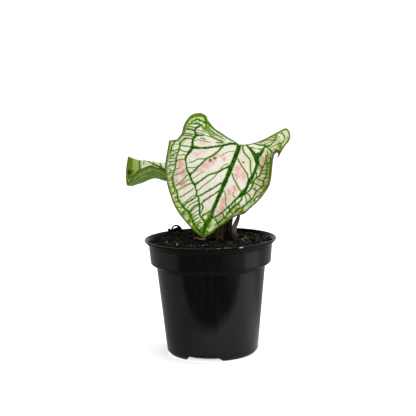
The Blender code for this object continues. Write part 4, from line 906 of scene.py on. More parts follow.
def make_blade(name, node, slot, blade, veins, patches, materials):
    """A blade with grooved veins, cells that swell between them, ribs beneath and a round edge."""
    dark, green, faint = ([Vein(points) for points in group] for group in veins)
    course = np.vstack([vein.line[:, :2] for vein in dark + green + faint])
    points, faces = filled(blade.edge, course, GRID_SPACING)
    dark_field, rib = vein_field(points, dark, DARK_SWELL)
    green_field, green_rib = vein_field(points, green, GREEN_SWELL)
    faint_field, _ = vein_field(points, faint, FAINT_SWELL)
    edge_away, edge_run = to_line(points, closed(blade.edge))
    at = blade.upper(points)
    normals = vertex_normals(at, faces)
    nearest = np.minimum(dark_field, green_field)
    sunk = np.clip(0.5 - nearest / GROOVE_WIDTH, 0, 1)
    swell = 1 - np.exp(-np.clip(nearest, 0, None) / QUILT_ROUNDING)
    fade = np.clip(edge_away / QUILT_MARGIN, 0, 1)
    lift = (QUILT * swell * fade - GROOVE * sunk) * MM
    thick = (BLADE_THICKNESS + DARK_RIB * rib + GREEN_RIB * green_rib) * MM
    top = at + normals * lift[:, None]
    bottom = at - normals * thick[:, None]
    ring, middle, side = round_rim(top, bottom, normals, faces)
    all_faces = faces.tolist() + (faces[:, ::-1] + len(points)).tolist() + side
    fields = {"dark_vein": dark_field, "green_vein": green_field, "faint_vein": faint_field,
              "edge": edge_away, "run": edge_run * len(blade.edge) * EDGE_SPACING}
    for kind, group in patches.items():
        fields[kind] = patch_field(points, group)
    fields = {kind: np.concatenate((values, values, values[ring])) for kind, values in fields.items()}
    piece = new_piece(name, np.vstack((top, bottom, middle)), all_faces, materials, slot, node, fields)
    underside = np.zeros(len(all_faces), np.int32)
    underside[len(faces):2 * len(faces)] = 1
    piece.data.polygons.foreach_set("material_index", underside)


def linear(colour, light):
    """A linear colour from the 0 to 255 values that the eye sees, under this much light."""
    values = [c / 255 for c in colour]
    found = [c / 12.92 if c <= 0.04045 else ((c + 0.055) / 1.055) ** 2.4 for c in values]
    return [c / light for c in found] + [1.0]


class Shader:
    """A node material built by short calls. Colours are given as seen, from 0 to 255, and laid in layers."""

    def __init__(self, name, ground, light=1.0):
        self.material = bpy.data.materials.new(name)
        self.material.use_nodes = True
        self.tree = self.material.node_tree
        self.surface = self.tree.nodes["Principled BSDF"]
        self.light = light
        self.place = self.new("ShaderNodeTexCoord").outputs["Object"]
        self.colour = ground

    def new(self, kind):
        """A new node of this kind."""
        return self.tree.nodes.new(kind)

    def plug(self, socket, value):
        """Links the value to the socket, or sets it there."""
        if isinstance(value, bpy.types.NodeSocket):
            self.tree.links.new(value, socket)
        elif isinstance(value, tuple) and socket.type == "RGBA":
            socket.default_value = linear(value, self.light)
        else:
            socket.default_value = value

    def feed(self, node, *values, **named):
        """Plugs values into a node's first inputs, or by name with _ for a space. Gives its first output."""
        for socket, value in zip(node.inputs, values):
            self.plug(socket, value)
        for key, value in named.items():
            self.plug(node.inputs[key.replace("_", " ")], value)
        return node.outputs[0]

    def field(self, name):
        """A number stored on the mesh's points."""
        node = self.new("ShaderNodeAttribute")
        node.attribute_name = name
        return node.outputs["Fac"]

    def math(self, kind, *values):
        """A sum of one, two or three numbers."""
        node = self.new("ShaderNodeMath")
        node.operation = kind
        return self.feed(node, *values)

    def times(self, a, b, plus=None):
        """The product of two numbers, with a third added if one is given."""
        return self.math("MULTIPLY", a, b) if plus is None else self.math("MULTIPLY_ADD", a, b, plus)

    def vector(self, kind, a, b=(0.0, 0.0, 0.0)):
        """The node for a sum of two vectors."""
        node = self.new("ShaderNodeVectorMath")
        node.operation = kind
        self.feed(node, a, b)
        return node

    def axes(self):
        """The place along X, Y and Z."""
        split = self.new("ShaderNodeSeparateXYZ")
        self.plug(split.inputs[0], self.place)
        return list(split.outputs)

    def fade(self, value, start, end, low=0.0, high=1.0):
        """A soft step from low to high as the value goes from start to end."""
        node = self.new("ShaderNodeMapRange")
        node.interpolation_type = "SMOOTHSTEP"
        return self.feed(node, value, start, end, low, high)

    def mix(self, share, a, b):
        """Colour a with this share of colour b over it."""
        node = self.new("ShaderNodeMix")
        node.data_type = "RGBA"
        for k, value in ((0, share), (6, a), (7, b)):
            self.plug(node.inputs[k], value)
        return node.outputs[2]

    def lay(self, share, colour):
        """Lays this share of a colour over those laid so far."""
        self.colour = self.mix(share, self.colour, colour)

    def grain(self, size_mm, detail=2.0, roughness=0.5, stretch=None):
        """Noise with lumps of about this size, from 0 to 1, drawn out along an axis if asked."""
        place = self.vector("MULTIPLY", self.place, stretch).outputs[0] if stretch else self.place
        return self.feed(self.new("ShaderNodeTexNoise"), Vector=place, Scale=1 / (size_mm * MM),
                         Detail=detail, Roughness=roughness)

    def net(self, size_mm, feature="DISTANCE_TO_EDGE"):
        """How far a place is from the edge or the middle of its cell, in a net of cells of this size."""
        node = self.new("ShaderNodeTexVoronoi")
        node.feature = feature
        self.feed(node, Vector=self.place, Scale=1 / (size_mm * MM))
        return node.outputs["Distance"]

    def ladder(self, along_mm, across_mm):
        """A net of cells that stand square to the margin: how near a cell's edge is, and the cell's tone."""
        run, edge = self.times(self.field("run"), 1 / along_mm), self.times(self.field("edge"), 1 / across_mm)
        place = self.feed(self.new("ShaderNodeCombineXYZ"), run, edge)
        nodes = []
        for feature in ("DISTANCE_TO_EDGE", "F1"):
            node = self.new("ShaderNodeTexVoronoi")
            node.feature = feature
            node.voronoi_dimensions = "2D"
            self.feed(node, Vector=place, Scale=1.0, Randomness=0.8)
            nodes.append(node)
        tone = self.feed(self.new("ShaderNodeSeparateColor"), nodes[1].outputs["Color"])
        return nodes[0].outputs["Distance"], tone

    def bump(self, height, depth_mm, strength, below=None):
        """Relief this deep, over another relief if one is given."""
        node = self.new("ShaderNodeBump")
        if below is not None:
            self.plug(node.inputs["Normal"], below)
        return self.feed(node, Strength=strength, Distance=depth_mm * MM, Height=height)

    def made(self, relief=None, **values):
        """The material, with the colours laid so far, a relief and values for the surface's sockets."""
        if relief is not None:
            self.plug(self.surface.inputs["Normal"], relief)
        self.feed(self.surface, Base_Color=self.colour, **values)
        return self.material


def leaf_upper(name, cream, bright, lime, mass, vein, spots):
    """The upper face: pale cells with pink blotches and a fine net between dark green veins."""
    s = Shader(name, cream, LEAF_LIGHT)
    wobble = s.times(s.grain(0.8, 3, 0.6), 0.8, -0.4)
    knots = s.times(s.grain(2.6, 3), 1.7, -0.85)
    dark = s.math("ADD", s.field("dark_vein"), s.times(knots, 0.6, wobble))
    green = s.math("ADD", s.field("green_vein"), s.math("ADD", wobble, knots))
    lime_field, tan_field, deep_field = s.field("lime"), s.field("tan"), s.field("deep")
    faint = s.times(wobble, 0.7, s.times(tan_field, -0.1, s.field("faint_vein")))
    nearest = s.math("MINIMUM", dark, green)
    edge, calm = s.field("edge"), s.field("calm")
    blotch, broad, speck = s.grain(1.3, 4, 0.65), s.grain(3.4, 4, 0.6), s.grain(0.9, 3, 0.7)
    uneven = s.math("SUBTRACT", blotch, 0.5)
    rung_away, cell_tone = s.ladder(1.8, 7)

    # Cells: cream, lime, tan and pink, with flecks
    s.lay(s.fade(broad, 0.42, 0.62), (219, 209, 196))
    s.lay(s.fade(nearest, 1.5, 0.3, 0, 0.5), bright)
    s.lay(s.times(s.fade(s.times(uneven, 1.1, lime_field), 0.2, 0.9), 0.85), lime)
    greener = s.math("ADD", lime_field, s.times(cell_tone, 0.6))
    near_edge = s.times(s.fade(edge, 9, 6.5), s.fade(calm, 0.6, 0.2))
    s.lay(s.times(near_edge, 0.75), s.mix(s.fade(greener, 0.3, 1.0), bright, lime))
    plain = s.fade(lime_field, 0.8, 1.6, 1, 0.25)
    s.lay(s.times(plain, s.fade(speck, 0.52, 0.64, 0, 0.4)), (190, 186, 166))
    s.lay(s.times(plain, s.fade(speck, 0.47, 0.36, 0, 0.3)), bright)
    inner_tan = s.mix(s.fade(blotch, 0.35, 0.6), (184, 162, 128), (152, 126, 92))
    outer_share = s.fade(s.times(cell_tone, 1.5, edge), 5.2, 4.2)
    s.lay(s.times(s.fade(tan_field, 0.1, 0.8), s.fade(blotch, 0.3, 0.6, 0.7, 1)),
          s.mix(outer_share, inner_tan, (104, 102, 42)))
    pink = s.times(s.field("pink"), s.fade(blotch, 0.32, 0.58, 0.3, 1))
    s.lay(s.fade(pink, 0.05, 0.8), (210, 136, 130))
    fleck = s.times(s.fade(s.net(1.5), 0.11, 0.02, 0, 0.45), s.fade(tan_field, 0.2, 0.7, 1, 0.2))
    s.lay(s.times(fleck, plain), (244, 240, 226))

    # Deep green at the leaf's point and sinus, and pale patches
    uneven_tone = s.math("SUBTRACT", cell_tone, 0.5)
    green_mass = s.mix(s.fade(broad, 0.42, 0.58), mass, tuple(round(c * 0.74) for c in mass))
    green_mass = s.mix(s.fade(speck, 0.52, 0.62, 0, 0.55), green_mass, (150, 184, 80))
    s.lay(s.fade(s.times(uneven_tone, 0.5, deep_field), 0.3, 0.55), green_mass)
    s.lay(s.times(s.field("pale"), 0.95), (228, 236, 186))

    # Fine nets, with a ladder of rungs along the margin
    rungs_at = s.fade(s.times(wobble, 0.1, rung_away), 0.15, 0.05)
    rung_share = s.times(s.times(near_edge, 0.3), s.fade(nearest, -0.1, 0.3))
    rung_tone = s.mix(tan_field, s.mix(s.fade(edge, 7, 2), (92, 134, 40), (70, 112, 20)), (66, 76, 18))
    s.lay(s.times(rungs_at, rung_share), rung_tone)
    net = s.fade(s.net(1.1), 0.1, 0.02)
    net_share = s.math("MAXIMUM", s.fade(edge, 11, 3, 0.1, 0.24), s.fade(nearest, 1.1, 0.2, 0.1, 0.4))
    s.lay(s.times(net, net_share), (104, 138, 46))

    # Veins in their green haze: faint, green and dark
    s.lay(s.fade(s.times(uneven, 2.2, nearest), 0.9, -0.1, 0, 0.7), (120, 156, 34))
    s.lay(s.fade(s.times(uneven, 1.6, faint), 0.6, -0.1, 0, 0.5), (146, 172, 62))
    faint_tone = s.mix(s.fade(edge, 12, 6), (86, 118, 24), (70, 108, 8))
    s.lay(s.fade(faint, 0.1, -0.14, 0, 0.94), s.mix(tan_field, faint_tone, (54, 70, 14)))
    shade = s.grain(2.2, 3)
    green_tone = s.mix(s.fade(shade, 0.35, 0.65), (32, 82, 4), (66, 116, 14))
    s.lay(s.fade(green, 0.18, -0.16, 0, 0.98), s.mix(s.times(tan_field, 0.8), green_tone, (44, 70, 10)))
    dark_tone = s.mix(s.fade(dark, -0.1, -0.7), (58, 110, 18), vein)
    dark_tone = s.mix(s.fade(shade, 0.42, 0.62, 0, 0.85), dark_tone, (50, 98, 16))
    s.lay(s.fade(dark, 0.18, -0.18), s.mix(s.times(deep_field, 0.8), dark_tone, (54, 110, 10)))

    # The green margin with its dark outermost line, and dry spots
    rim = s.times(calm, 0.7, s.times(wobble, 2.4, edge))
    rim_tone = s.mix(s.fade(blotch, 0.38, 0.6), (112, 150, 44), (60, 100, 12))
    s.lay(s.fade(rim, 2.1, 1.2, 0, 0.92), s.mix(tan_field, rim_tone, (84, 86, 22)))
    outermost = s.mix(s.fade(s.grain(7, 3), 0.42, 0.58), (58, 88, 18), (104, 60, 34))
    s.lay(s.fade(rim, 0.85, 0.4, 0, 0.85), outermost)
    spot = s.field("spot")
    spot_tone = s.mix(s.fade(blotch, 0.4, 0.6), *spots)
    s.lay(s.fade(spot, 0.2, 0.45), s.mix(s.fade(spot, 0.74, 0.86), spot_tone, (50, 8, 14)))

    rough = s.times(s.fade(nearest, 0.2, -0.1), -0.08, s.fade(blotch, 0.2, 0.8, 0.4, 0.55))
    lines = s.times(s.math("MAXIMUM", net, rungs_at), 0.35)
    fine = s.bump(s.net(0.55, "F1"), 0.05, 0.5)
    relief = s.bump(s.math("SUBTRACT", s.grain(1.4, 4), lines), 0.12, 0.6, fine)
    return s.made(relief, Roughness=rough, Specular_IOR_Level=0.015)


def leaf_under(name, ground, vein, creases):
    """The underside: dull grey-green with the veins raised and lines that follow the edge."""
    s = Shader(name, ground, LEAF_LIGHT)
    wobble = s.times(s.grain(1.2, 3, 0.6), 0.8, -0.4)
    dark, green = (s.math("ADD", s.field(kind), wobble) for kind in ("dark_vein", "green_vein"))
    edge = s.field("edge")
    lighter = tuple(min(255, round(c * 1.28)) for c in ground)
    darker = tuple(round(c * 0.8) for c in ground)
    s.lay(s.fade(s.grain(4, 4, 0.6), 0.35, 0.65), lighter)
    line = s.math("SINE", s.times(edge, 3.4, s.times(s.grain(6, 3), 9)))
    s.lay(s.fade(line, 0.3, 1, 0, creases), darker)
    s.lay(s.fade(line, -0.6, -1, 0, creases * 0.6), lighter)
    s.lay(s.fade(s.grain(1.1, 3), 0.56, 0.75, 0, 0.6), lighter)
    s.lay(s.fade(s.math("MINIMUM", dark, green), 0.3, -0.2, 0, 0.7), vein)
    s.lay(s.fade(s.math("ADD", edge, wobble), 1.2, 0.3, 0, 0.85), (82, 84, 24))
    s.lay(s.fade(s.field("spot"), 0.25, 0.75), (66, 54, 26))
    net = s.fade(s.net(1.3), 0.1, 0.02)
    s.lay(s.times(net, 0.35), vein)
    relief = s.bump(s.times(net, 0.5, s.grain(1.2, 4)), 0.15, 0.6)
    return s.made(relief, Roughness=s.fade(s.grain(1.5), 0.3, 0.7, 0.5, 0.64), Specular_IOR_Level=0.12)


def make_leaves():
    """Both blades."""
    random = np.random.default_rng(RUNG_SEED)
    crossings = ()
    for row in RUNG_ROWS:
        crossings += tuple(rungs(*row, random))
    upper = leaf_upper("Front leaf upper", cream=(225, 221, 210), bright=(238, 239, 222), lime=(174, 198, 84),
                       mass=(100, 144, 24), vein=(12, 56, 3), spots=((112, 76, 38), (154, 110, 66)))
    under = leaf_under("Front leaf underside", ground=(150, 166, 112), vein=(84, 116, 56), creases=0.12)
    front = Blade(FRONT_MARGIN, FRONT_DEPTHS, seen_at, FRONT_WAVE)
    make_blade("front_blade", "front_leaf_blade", "front_leaf", front,
               (FRONT_DARK_VEINS, FRONT_GREEN_VEINS, FRONT_FAINT_VEINS + crossings), FRONT_PATCHES,
               (upper, under))
    upper = leaf_upper("Back leaf upper", cream=(180, 188, 146), bright=(196, 202, 166), lime=(122, 150, 48),
                       mass=(76, 88, 12), vein=(10, 50, 4), spots=((34, 36, 10), (54, 56, 20)))
    under = leaf_under("Back leaf underside", ground=(98, 124, 58), vein=(66, 94, 34), creases=0.7)
    back = Blade(BACK_MARGIN, BACK_HEIGHTS, in_plan, BACK_WAVE)
    make_blade("back_blade", "back_leaf_blade", "back_leaf", back,
               (BACK_DARK_VEINS, BACK_GREEN_VEINS, BACK_FAINT_VEINS), BACK_PATCHES, (upper, under))
    return front, back


def loft(path, radii, sides, section, twist):
    """A closed tube along the path. The section gives the radius by angle and by the place along."""
    line = spline_through(path, STALK_RING_SPACING, least=2, counted=3)
    at = np.linspace(0, 1, len(line))
    sizes = np.interp(at, np.linspace(0, 1, len(radii)), radii)
    ahead = unit(np.gradient(line, axis=0))
    side = unit(np.cross(ahead[0], FIRST_SIDE)[None])[0]
    angles = np.linspace(0, 2 * math.pi, sides, endpoint=False)
    rings = []
    for k, (centre, forward) in enumerate(zip(line, ahead)):
        side = side - forward * (side @ forward)
        side /= np.linalg.norm(side)
        other = np.cross(forward, side)
        turned = angles + twist * at[k]
        reach = sizes[k] * section(angles, at[k])
        rings.append(centre + reach[:, None] * (np.cos(turned)[:, None] * side
                                                + np.sin(turned)[:, None] * other))
    verts = np.vstack(rings + [line[:1], line[-1:] + ahead[-1] * sizes[-1] * TIP_REACH])
    faces = []
    for k in range(len(rings) - 1):
        for j in range(sides):
            n = (j + 1) % sides
            faces.append((k * sides + j, k * sides + n, (k + 1) * sides + n, (k + 1) * sides + j))
    foot, tip = len(verts) - 2, len(verts) - 1
    last = (len(rings) - 1) * sides
    faces += [(foot, (j + 1) % sides, j) for j in range(sides)]
    faces += [(tip, last + j, last + (j + 1) % sides) for j in range(sides)]
    fields = {"along": np.append(np.repeat(at, sides), (0, 1)),
              "around": np.append(np.tile(angles, len(rings)), (0, 0))}
    return verts * MM, faces, fields


def stem_shader(name, low, high, streak, streak_share, stripes, roughness, depth, foot, change=(0.35, 0.95)):
    """A stem's skin: two tones over a foot that darkens to near black, with lengthwise streaks that are also
    relief.
    """
    s = Shader(name, low, LEAF_LIGHT)
    along = s.field("along")
    stripe = s.math("SINE", s.times(s.field("around"), stripes, s.times(s.grain(5, 3), 5)))
    lengthwise = s.grain(1.2, 4, 0.65, (1, 1, 0.12))
    s.lay(s.fade(s.times(s.grain(4, 3), 0.4, along), *change), high)
    s.lay(s.fade(stripe, 0.0, 0.9, 0, streak_share), streak)
    s.lay(s.fade(s.times(s.grain(3, 3), 0.2, along), foot + 0.25, foot, 0, 0.85), (12, 8, 6))
    s.lay(s.fade(lengthwise, 0.55, 0.75, 0, 0.5), tuple(c // 2 for c in low))
    rough = s.fade(lengthwise, 0.3, 0.7, roughness - 0.08, roughness + 0.1)
    relief = s.bump(s.times(stripe, 0.3, lengthwise), depth, 0.7)
    return s.made(relief, Roughness=rough, Specular_IOR_Level=0.06)


def ridged_section(lobes, depth):
    """A round section with shallow lengthwise ridges."""
    def section(angles, _):
        return 1 + depth * np.cos(lobes * angles)
    return section


def rolled_section(angles, along):
    """A leaf rolled round itself: the radius grows round the turn and drops at its free edge."""
    share = angles / (2 * math.pi)
    return 0.88 + 0.2 * share - 0.1 * np.exp(-((share - 1) / 0.03) ** 2) * (1 - along * 0.4)


def wrapped_section(angles, along):
    """A dry sheath: uneven ribs and an open edge that gapes towards the top."""
    share = angles / (2 * math.pi)
    ribs = 0.035 * np.cos(11 * angles) + 0.025 * np.cos(5 * angles + 1.3 + along)
    return 1 + ribs + (0.1 * share - 0.05) * (0.5 + along)


def flat_section(angles, _):
    """A flattened round, as a rolled margin has."""
    return 1 / np.sqrt(np.cos(angles) ** 2 + (np.sin(angles) / CURL_FLATNESS) ** 2)


def make_stems(front, back):
    """The stalks, the rolled young leaf, the dry sheath, the loop of root and the front leaf's curl."""
    stalk_skin = stem_shader("Stalk skin", low=(26, 15, 13), high=(112, 92, 66), streak=(14, 8, 7),
                             streak_share=0.5, stripes=9, roughness=0.45, depth=0.12, foot=0.2)
    shoot_skin = stem_shader("Young leaf skin", low=(150, 134, 114), high=(84, 40, 56), streak=(62, 50, 42),
                             streak_share=0.9, stripes=6, roughness=0.5, depth=0.14, foot=0.5,
                             change=(0.88, 1.15))
    sheath_skin = stem_shader("Dry sheath skin", low=(98, 82, 52), high=(70, 54, 32), streak=(22, 15, 8),
                              streak_share=0.9, stripes=8, roughness=0.66, depth=0.2, foot=0.34)
    root_skin = stem_shader("Root skin", low=(14, 11, 8), high=(12, 10, 8), streak=(6, 5, 4),
                            streak_share=0.5, stripes=5, roughness=0.8, depth=0.2, foot=-0.4)
    curl_skin = stem_shader("Dry margin", low=(96, 84, 40), high=(58, 56, 34), streak=(52, 44, 20),
                            streak_share=0.5, stripes=3, roughness=0.6, depth=0.1, foot=-0.4)
    front_path = FRONT_STALK + (front.joint(FRONT_JOINT) / MM,)
    back_path = BACK_STALK + (back.joint(BACK_JOINT) / MM,)
    curl_path = seen_at(*np.array(CURL).T) / MM
    for name, node, slot, path, radii, sides, section, twist, skin in (
            ("front_stalk", "front_leaf_petiole", "petiole", front_path, FRONT_STALK_RADII, STALK_SIDES,
             ridged_section(9, 0.02), STALK_TWIST, stalk_skin),
            ("back_stalk", "back_leaf_petiole", "petiole", back_path, BACK_STALK_RADII, STALK_SIDES,
             ridged_section(8, 0.02), STALK_TWIST, stalk_skin),
            ("young_leaf", "rolled_shoot", "shoot", SHOOT, SHOOT_RADII, STALK_SIDES,
             rolled_section, SHOOT_TWIST, shoot_skin),
            ("dry_sheath", "pale_sheath", "sheath", SHEATH, SHEATH_RADII, STALK_SIDES,
             wrapped_section, STALK_TWIST, sheath_skin),
            ("root_strand", "root_loop", "root", ROOT_LOOP, ROOT_LOOP_RADII, STRAND_SIDES,
             ridged_section(5, 0.06), STALK_TWIST, root_skin),
            ("margin_curl", None, "front_leaf", curl_path, CURL_RADII, STRAND_SIDES,
             flat_section, 0, curl_skin)):
        verts, faces, fields = loft(path, radii, sides, section, twist)
        new_piece(name, verts, faces, (skin,), slot, node, fields)


def soil_height(x, y):
    """The height of the soil's lumpy top, which rises at the rim and in a heap at the back left."""
    out = min(1.0, math.hypot(x, y) / COLLAR_TOP_RADIUS)
    height = SOIL_EDGE_Z + SOIL_CROWN * (1 - out * out)
    place = Vector((x, y, LUMP_SLICE_Z)) / SOIL_LUMP_SIZE
    lumps = noise.noise(place) + FINER_LUMP_SHARE * noise.noise(place * FINER_LUMPS)
    height += SOIL_LUMP * lumps * (1 - out ** 6)
    away = (Vector((x, y, 0)) - HEAP_CENTRE).length / HEAP_RADIUS
    height += SOIL_RIM_LIFT * out ** 14 * min(1, away) ** 3
    if away < 1:
        height += HEAP_HEIGHT * (1 - away * away) ** 2
    return height


def crumbly(x, y):
    """The soil's height with its fine crumbs and pits."""
    place = Vector((x, y, 0)) / MM
    crumbs = CRUMB_HEIGHT * noise.noise(place / CRUMB_SIZE)
    crumbs += FINE_CRUMB_HEIGHT * noise.noise(place / FINE_CRUMB_SIZE)
    pits = max(0.0, noise.noise(place / PIT_SIZE) - PIT_LEVEL)
    return soil_height(x, y) + (crumbs - PIT_DEPTH * pits) * MM


def inner_profile(inset):
    """Radius and height up the pot's inner side, inset from its outer side, from the floor to the lip."""
    floor_z = FLOOR_UNDERSIDE_Z + WALL
    floor_radius = BODY_FOOT_RADIUS + (BODY_TOP_RADIUS - BODY_FOOT_RADIUS) * floor_z / SHOULDER_Z
    return [
        (floor_radius - inset - FLOOR_CORNER, floor_z),
        (floor_radius - inset, floor_z + FLOOR_CORNER),
        (BODY_TOP_RADIUS - inset, SHOULDER_Z + 0.4 * MM),
        (COLLAR_FOOT_RADIUS - inset, COLLAR_FOOT_Z + 0.6 * MM),
        (COLLAR_TOP_RADIUS - inset, COLLAR_TOP_Z + 0.2 * MM),
    ]


def on_circle(radius, turn):
    """The place at this radius and turn."""
    return radius * math.cos(turn), radius * math.sin(turn)


def turn_of(place):
    """The turn at which a place lies round the pot."""
    return math.atan2(place[1], place[0])


def peat_shader():
    """Damp peat: near black with brown fibres and a few pale specks."""
    s = Shader("Peat", (6, 5, 4))
    s.lay(s.fade(s.grain(2.4, 5, 0.7), 0.38, 0.66), (18, 15, 11))
    s.lay(s.fade(s.grain(0.7, 4, 0.7), 0.64, 0.74, 0, 0.8), (128, 112, 78))
    return s.made(s.bump(s.grain(0.6, 5, 0.7), 0.5, 0.9), Specular_IOR_Level=0.08,
                  Roughness=s.fade(s.grain(1.1, 3), 0.3, 0.7, 0.72, 0.95))


def make_soil():
    """The soil that fills the pot, with a fine crumbly top."""
    turns = np.linspace(0, 2 * math.pi, SOIL_RIM_POINTS, endpoint=False)
    rim = np.column_stack((np.cos(turns), np.sin(turns))) * SOIL_RADIUS / MM
    points, faces = filled(rim, rim[:1] * 0, SOIL_SPACING / MM)
    points = points * MM
    verts, all_faces = [(x, y, crumbly(x, y)) for x, y in points], faces.tolist()
    edge = [k for k in range(len(points)) if math.hypot(*points[k]) > SOIL_RADIUS * 0.9999]
    edge.sort(key=lambda k: turn_of(points[k]))
    sides = [(r, z) for r, z in reversed(inner_profile(WALL + GAP)) if z < SOIL_EDGE_Z - 0.1 * MM]
    floor_radius, floor_z = sides.pop()
    cup_radius = CENTRE_PAD_RADIUS - WALL / 2 - GAP
    sides = [(COLLAR_TOP_RADIUS - WALL - GAP, SOIL_EDGE_Z - SOIL_BREAK)] + sides[1:] + [
        (floor_radius, floor_z + GAP),
        (cup_radius + CENTRE_PAD_SLOPE, floor_z + GAP),
        (cup_radius, WALL + GAP),
    ]
    above = edge
    for r, z in sides:
        ring = list(range(len(verts), len(verts) + len(edge)))
        verts += [(*on_circle(r, turn_of(points[k])), z) for k in edge]
        for k in range(len(edge)):
            n = (k + 1) % len(edge)
            all_faces.append((above[k], ring[k], ring[n], above[n]))
        above = ring
    all_faces.append(list(reversed(above)))
    new_piece("soil_bed", verts, all_faces, (peat_shader(),), "peat", "soil")


def ball(subdivisions):
    """A round template: its points at radius 1 and its triangles."""
    bm = bmesh.new()
    bmesh.ops.create_icosphere(bm, subdivisions=subdivisions, radius=1)
    verts = np.array([v.co[:] for v in bm.verts])
    faces = np.array([[v.index for v in f.verts] for f in bm.faces])
    bm.free()
    return verts, faces


def turned_frame(random, tilt):
    """Random axes, with the third within about this angle of up."""
    heading = random.uniform(0, 2 * math.pi)
    lean = Matrix.Rotation(random.normal(0, tilt), 3, (math.cos(heading), math.sin(heading), 0))
    return np.array(lean @ Matrix.Rotation(random.uniform(0, 2 * math.pi), 3, "Z"))


def scatter(name, rows, material, random, tilt, ruggedness):
    """Grains at these places, each with its size and shape in mm, its tone and how deep it is sunk."""
    base, faces = ball(2)
    verts, all_faces, tones = [], [], []
    for x, y, size, shape, tone, sunk in rows:
        sizes = size * np.array(shape)
        rough = np.array([1 + ruggedness * noise.noise(Vector(v) * 1.7 + Vector((x, y, tone)) / MM)
                          for v in base])
        grain = base * rough[:, None] * sizes @ turned_frame(random, tilt).T
        height = crumbly(x, y) / MM + sizes[2] * (1 - sunk)
        verts.append(grain + (x / MM, y / MM, height))
        all_faces.append(faces + len(base) * len(tones))
        tones.append(tone)
    new_piece(name, np.vstack(verts) * MM, np.vstack(all_faces), (material,), "peat",
              fields={"tone": np.repeat(tones, len(base))})


def random_place(random, inset):
    """A place on the soil, even over its area, this far in from its edge."""
    radius = (SOIL_RADIUS - inset) * math.sqrt(random.uniform(0, 1))
    return on_circle(radius, random.uniform(0, 2 * math.pi))


def grain_shader(name, dark, lighter, fleck, fleck_grain, fleck_fade, rough_grain, rough, relief, shine):
    """Grains from dark to light by their own tone, with fine flecks."""
    s = Shader(name, dark)
    tone = s.field("tone")
    for start, end, colour in lighter:
        s.lay(s.fade(tone, start, end), colour)
    s.lay(s.fade(s.grain(*fleck_grain), *fleck_fade), fleck)
    size, detail, depth, strength = relief
    return s.made(s.bump(s.grain(size, detail), depth, strength), Specular_IOR_Level=shine,
                  Roughness=s.fade(s.grain(rough_grain), 0.3, 0.7, *rough))


def make_clods(random):
    """Peat clods all over the soil, smaller where the heap is bare, and some round the loop of root."""
    rows = []
    for _ in range(CLODS):
        x, y = random_place(random, CLOD_INSET)
        size = random.gamma(5, 0.17) + 0.25
        if math.hypot(x - HEAP_CLEARING[0], y - HEAP_CLEARING[1]) < HEAP_CLEARING_RADIUS:
            size *= HEAP_CLEARING_SIZE
        shape = (random.uniform(0.8, 1.3), random.uniform(0.7, 1), random.uniform(0.5, 0.8))
        rows.append((x, y, size, shape, random.uniform(0, 1), random.uniform(0.3, 1)))
    rows += [(x * MM, y * MM, size, HEAP_CLOD_SHAPE, 0.3, sunk) for x, y, size, sunk in HEAP_CLODS]
    skin = grain_shader("Peat clods", dark=(5, 5, 4), lighter=((0.5, 1, (28, 23, 16)),),
                        fleck=(84, 70, 48), fleck_grain=(0.8, 4, 0.7), fleck_fade=(0.6, 0.75, 0, 0.5),
                        rough_grain=0.9, rough=(0.65, 0.95), relief=(0.4, 4, 0.3, 0.8), shine=0.1)
    scatter("peat_clods", rows, skin, random, tilt=0.5, ruggedness=0.9)


def make_chips(random):
    """Bark chips: all over, tan at the right, crumbs on the lip, round the rim, under the leaf's point."""
    rows = []
    for _ in range(CHIPS):
        x, y = random_place(random, CHIP_INSET)
        rows.append((x, y, random.uniform(*CHIP_SIZES), CHIP_SHAPE, random.uniform(0, 0.75),
                     random.uniform(0, 0.9)))
    for _ in range(TAN_CHIP_TRIES):
        x, y = (random.normal(*given) for given in zip(TAN_CHIP_MIDDLE, TAN_CHIP_SPREAD))
        if math.hypot(x, y) < SOIL_RADIUS - CHIP_INSET:
            size = random.uniform(*TAN_CHIP_SIZES)
            rows.append((x, y, size, TAN_CHIP_SHAPE, random.uniform(0.35, 0.95), 0.2))
    for _ in range(LIP_CRUMBS):
        turn = math.radians(random.uniform(*LIP_CRUMB_TURNS_DEG))
        x, y = on_circle(random.uniform(*LIP_CRUMB_RADII_MM) * MM, turn)
        size = random.uniform(*LIP_CRUMB_SIZES)
        lift = (POT_HEIGHT - crumbly(x, y)) / MM / (size * LIP_CRUMB_SHAPE[2])
        rows.append((x, y, size, LIP_CRUMB_SHAPE, random.uniform(0.6, 0.9), 0.6 - lift))
    for _ in range(RIM_CHIPS):
        turn = random.uniform(0, 2 * math.pi)
        x, y = on_circle(SOIL_RADIUS - random.uniform(*RIM_CHIP_INSETS_MM) * MM, turn)
        rows.append((x, y, random.uniform(*RIM_CHIP_SIZES), RIM_CHIP_SHAPE, random.uniform(0.2, 0.9), 0.1))
    for _ in range(LEAF_POINT_CHIPS):
        x, y = random.uniform(*LEAF_POINT_RIGHT), random.uniform(*LEAF_POINT_BACK)
        size = random.uniform(*LEAF_POINT_SIZES)
        rows.append((x, y, size, LEAF_POINT_SHAPE, random.uniform(0.75, 1), -0.2))
    skin = grain_shader("Bark chips", dark=(28, 24, 16),
                        lighter=((0.15, 0.6, (84, 74, 48)), (0.6, 1, (162, 140, 104))),
                        fleck=(36, 27, 18), fleck_grain=(0.5, 4, 0.7), fleck_fade=(0.45, 0.7, 0, 0.6),
                        rough_grain=0.9, rough=(0.6, 0.9), relief=(0.35, 4, 0.25, 0.8), shine=0.15)
    scatter("bark_chips", rows, skin, random, tilt=0.35, ruggedness=0.5)


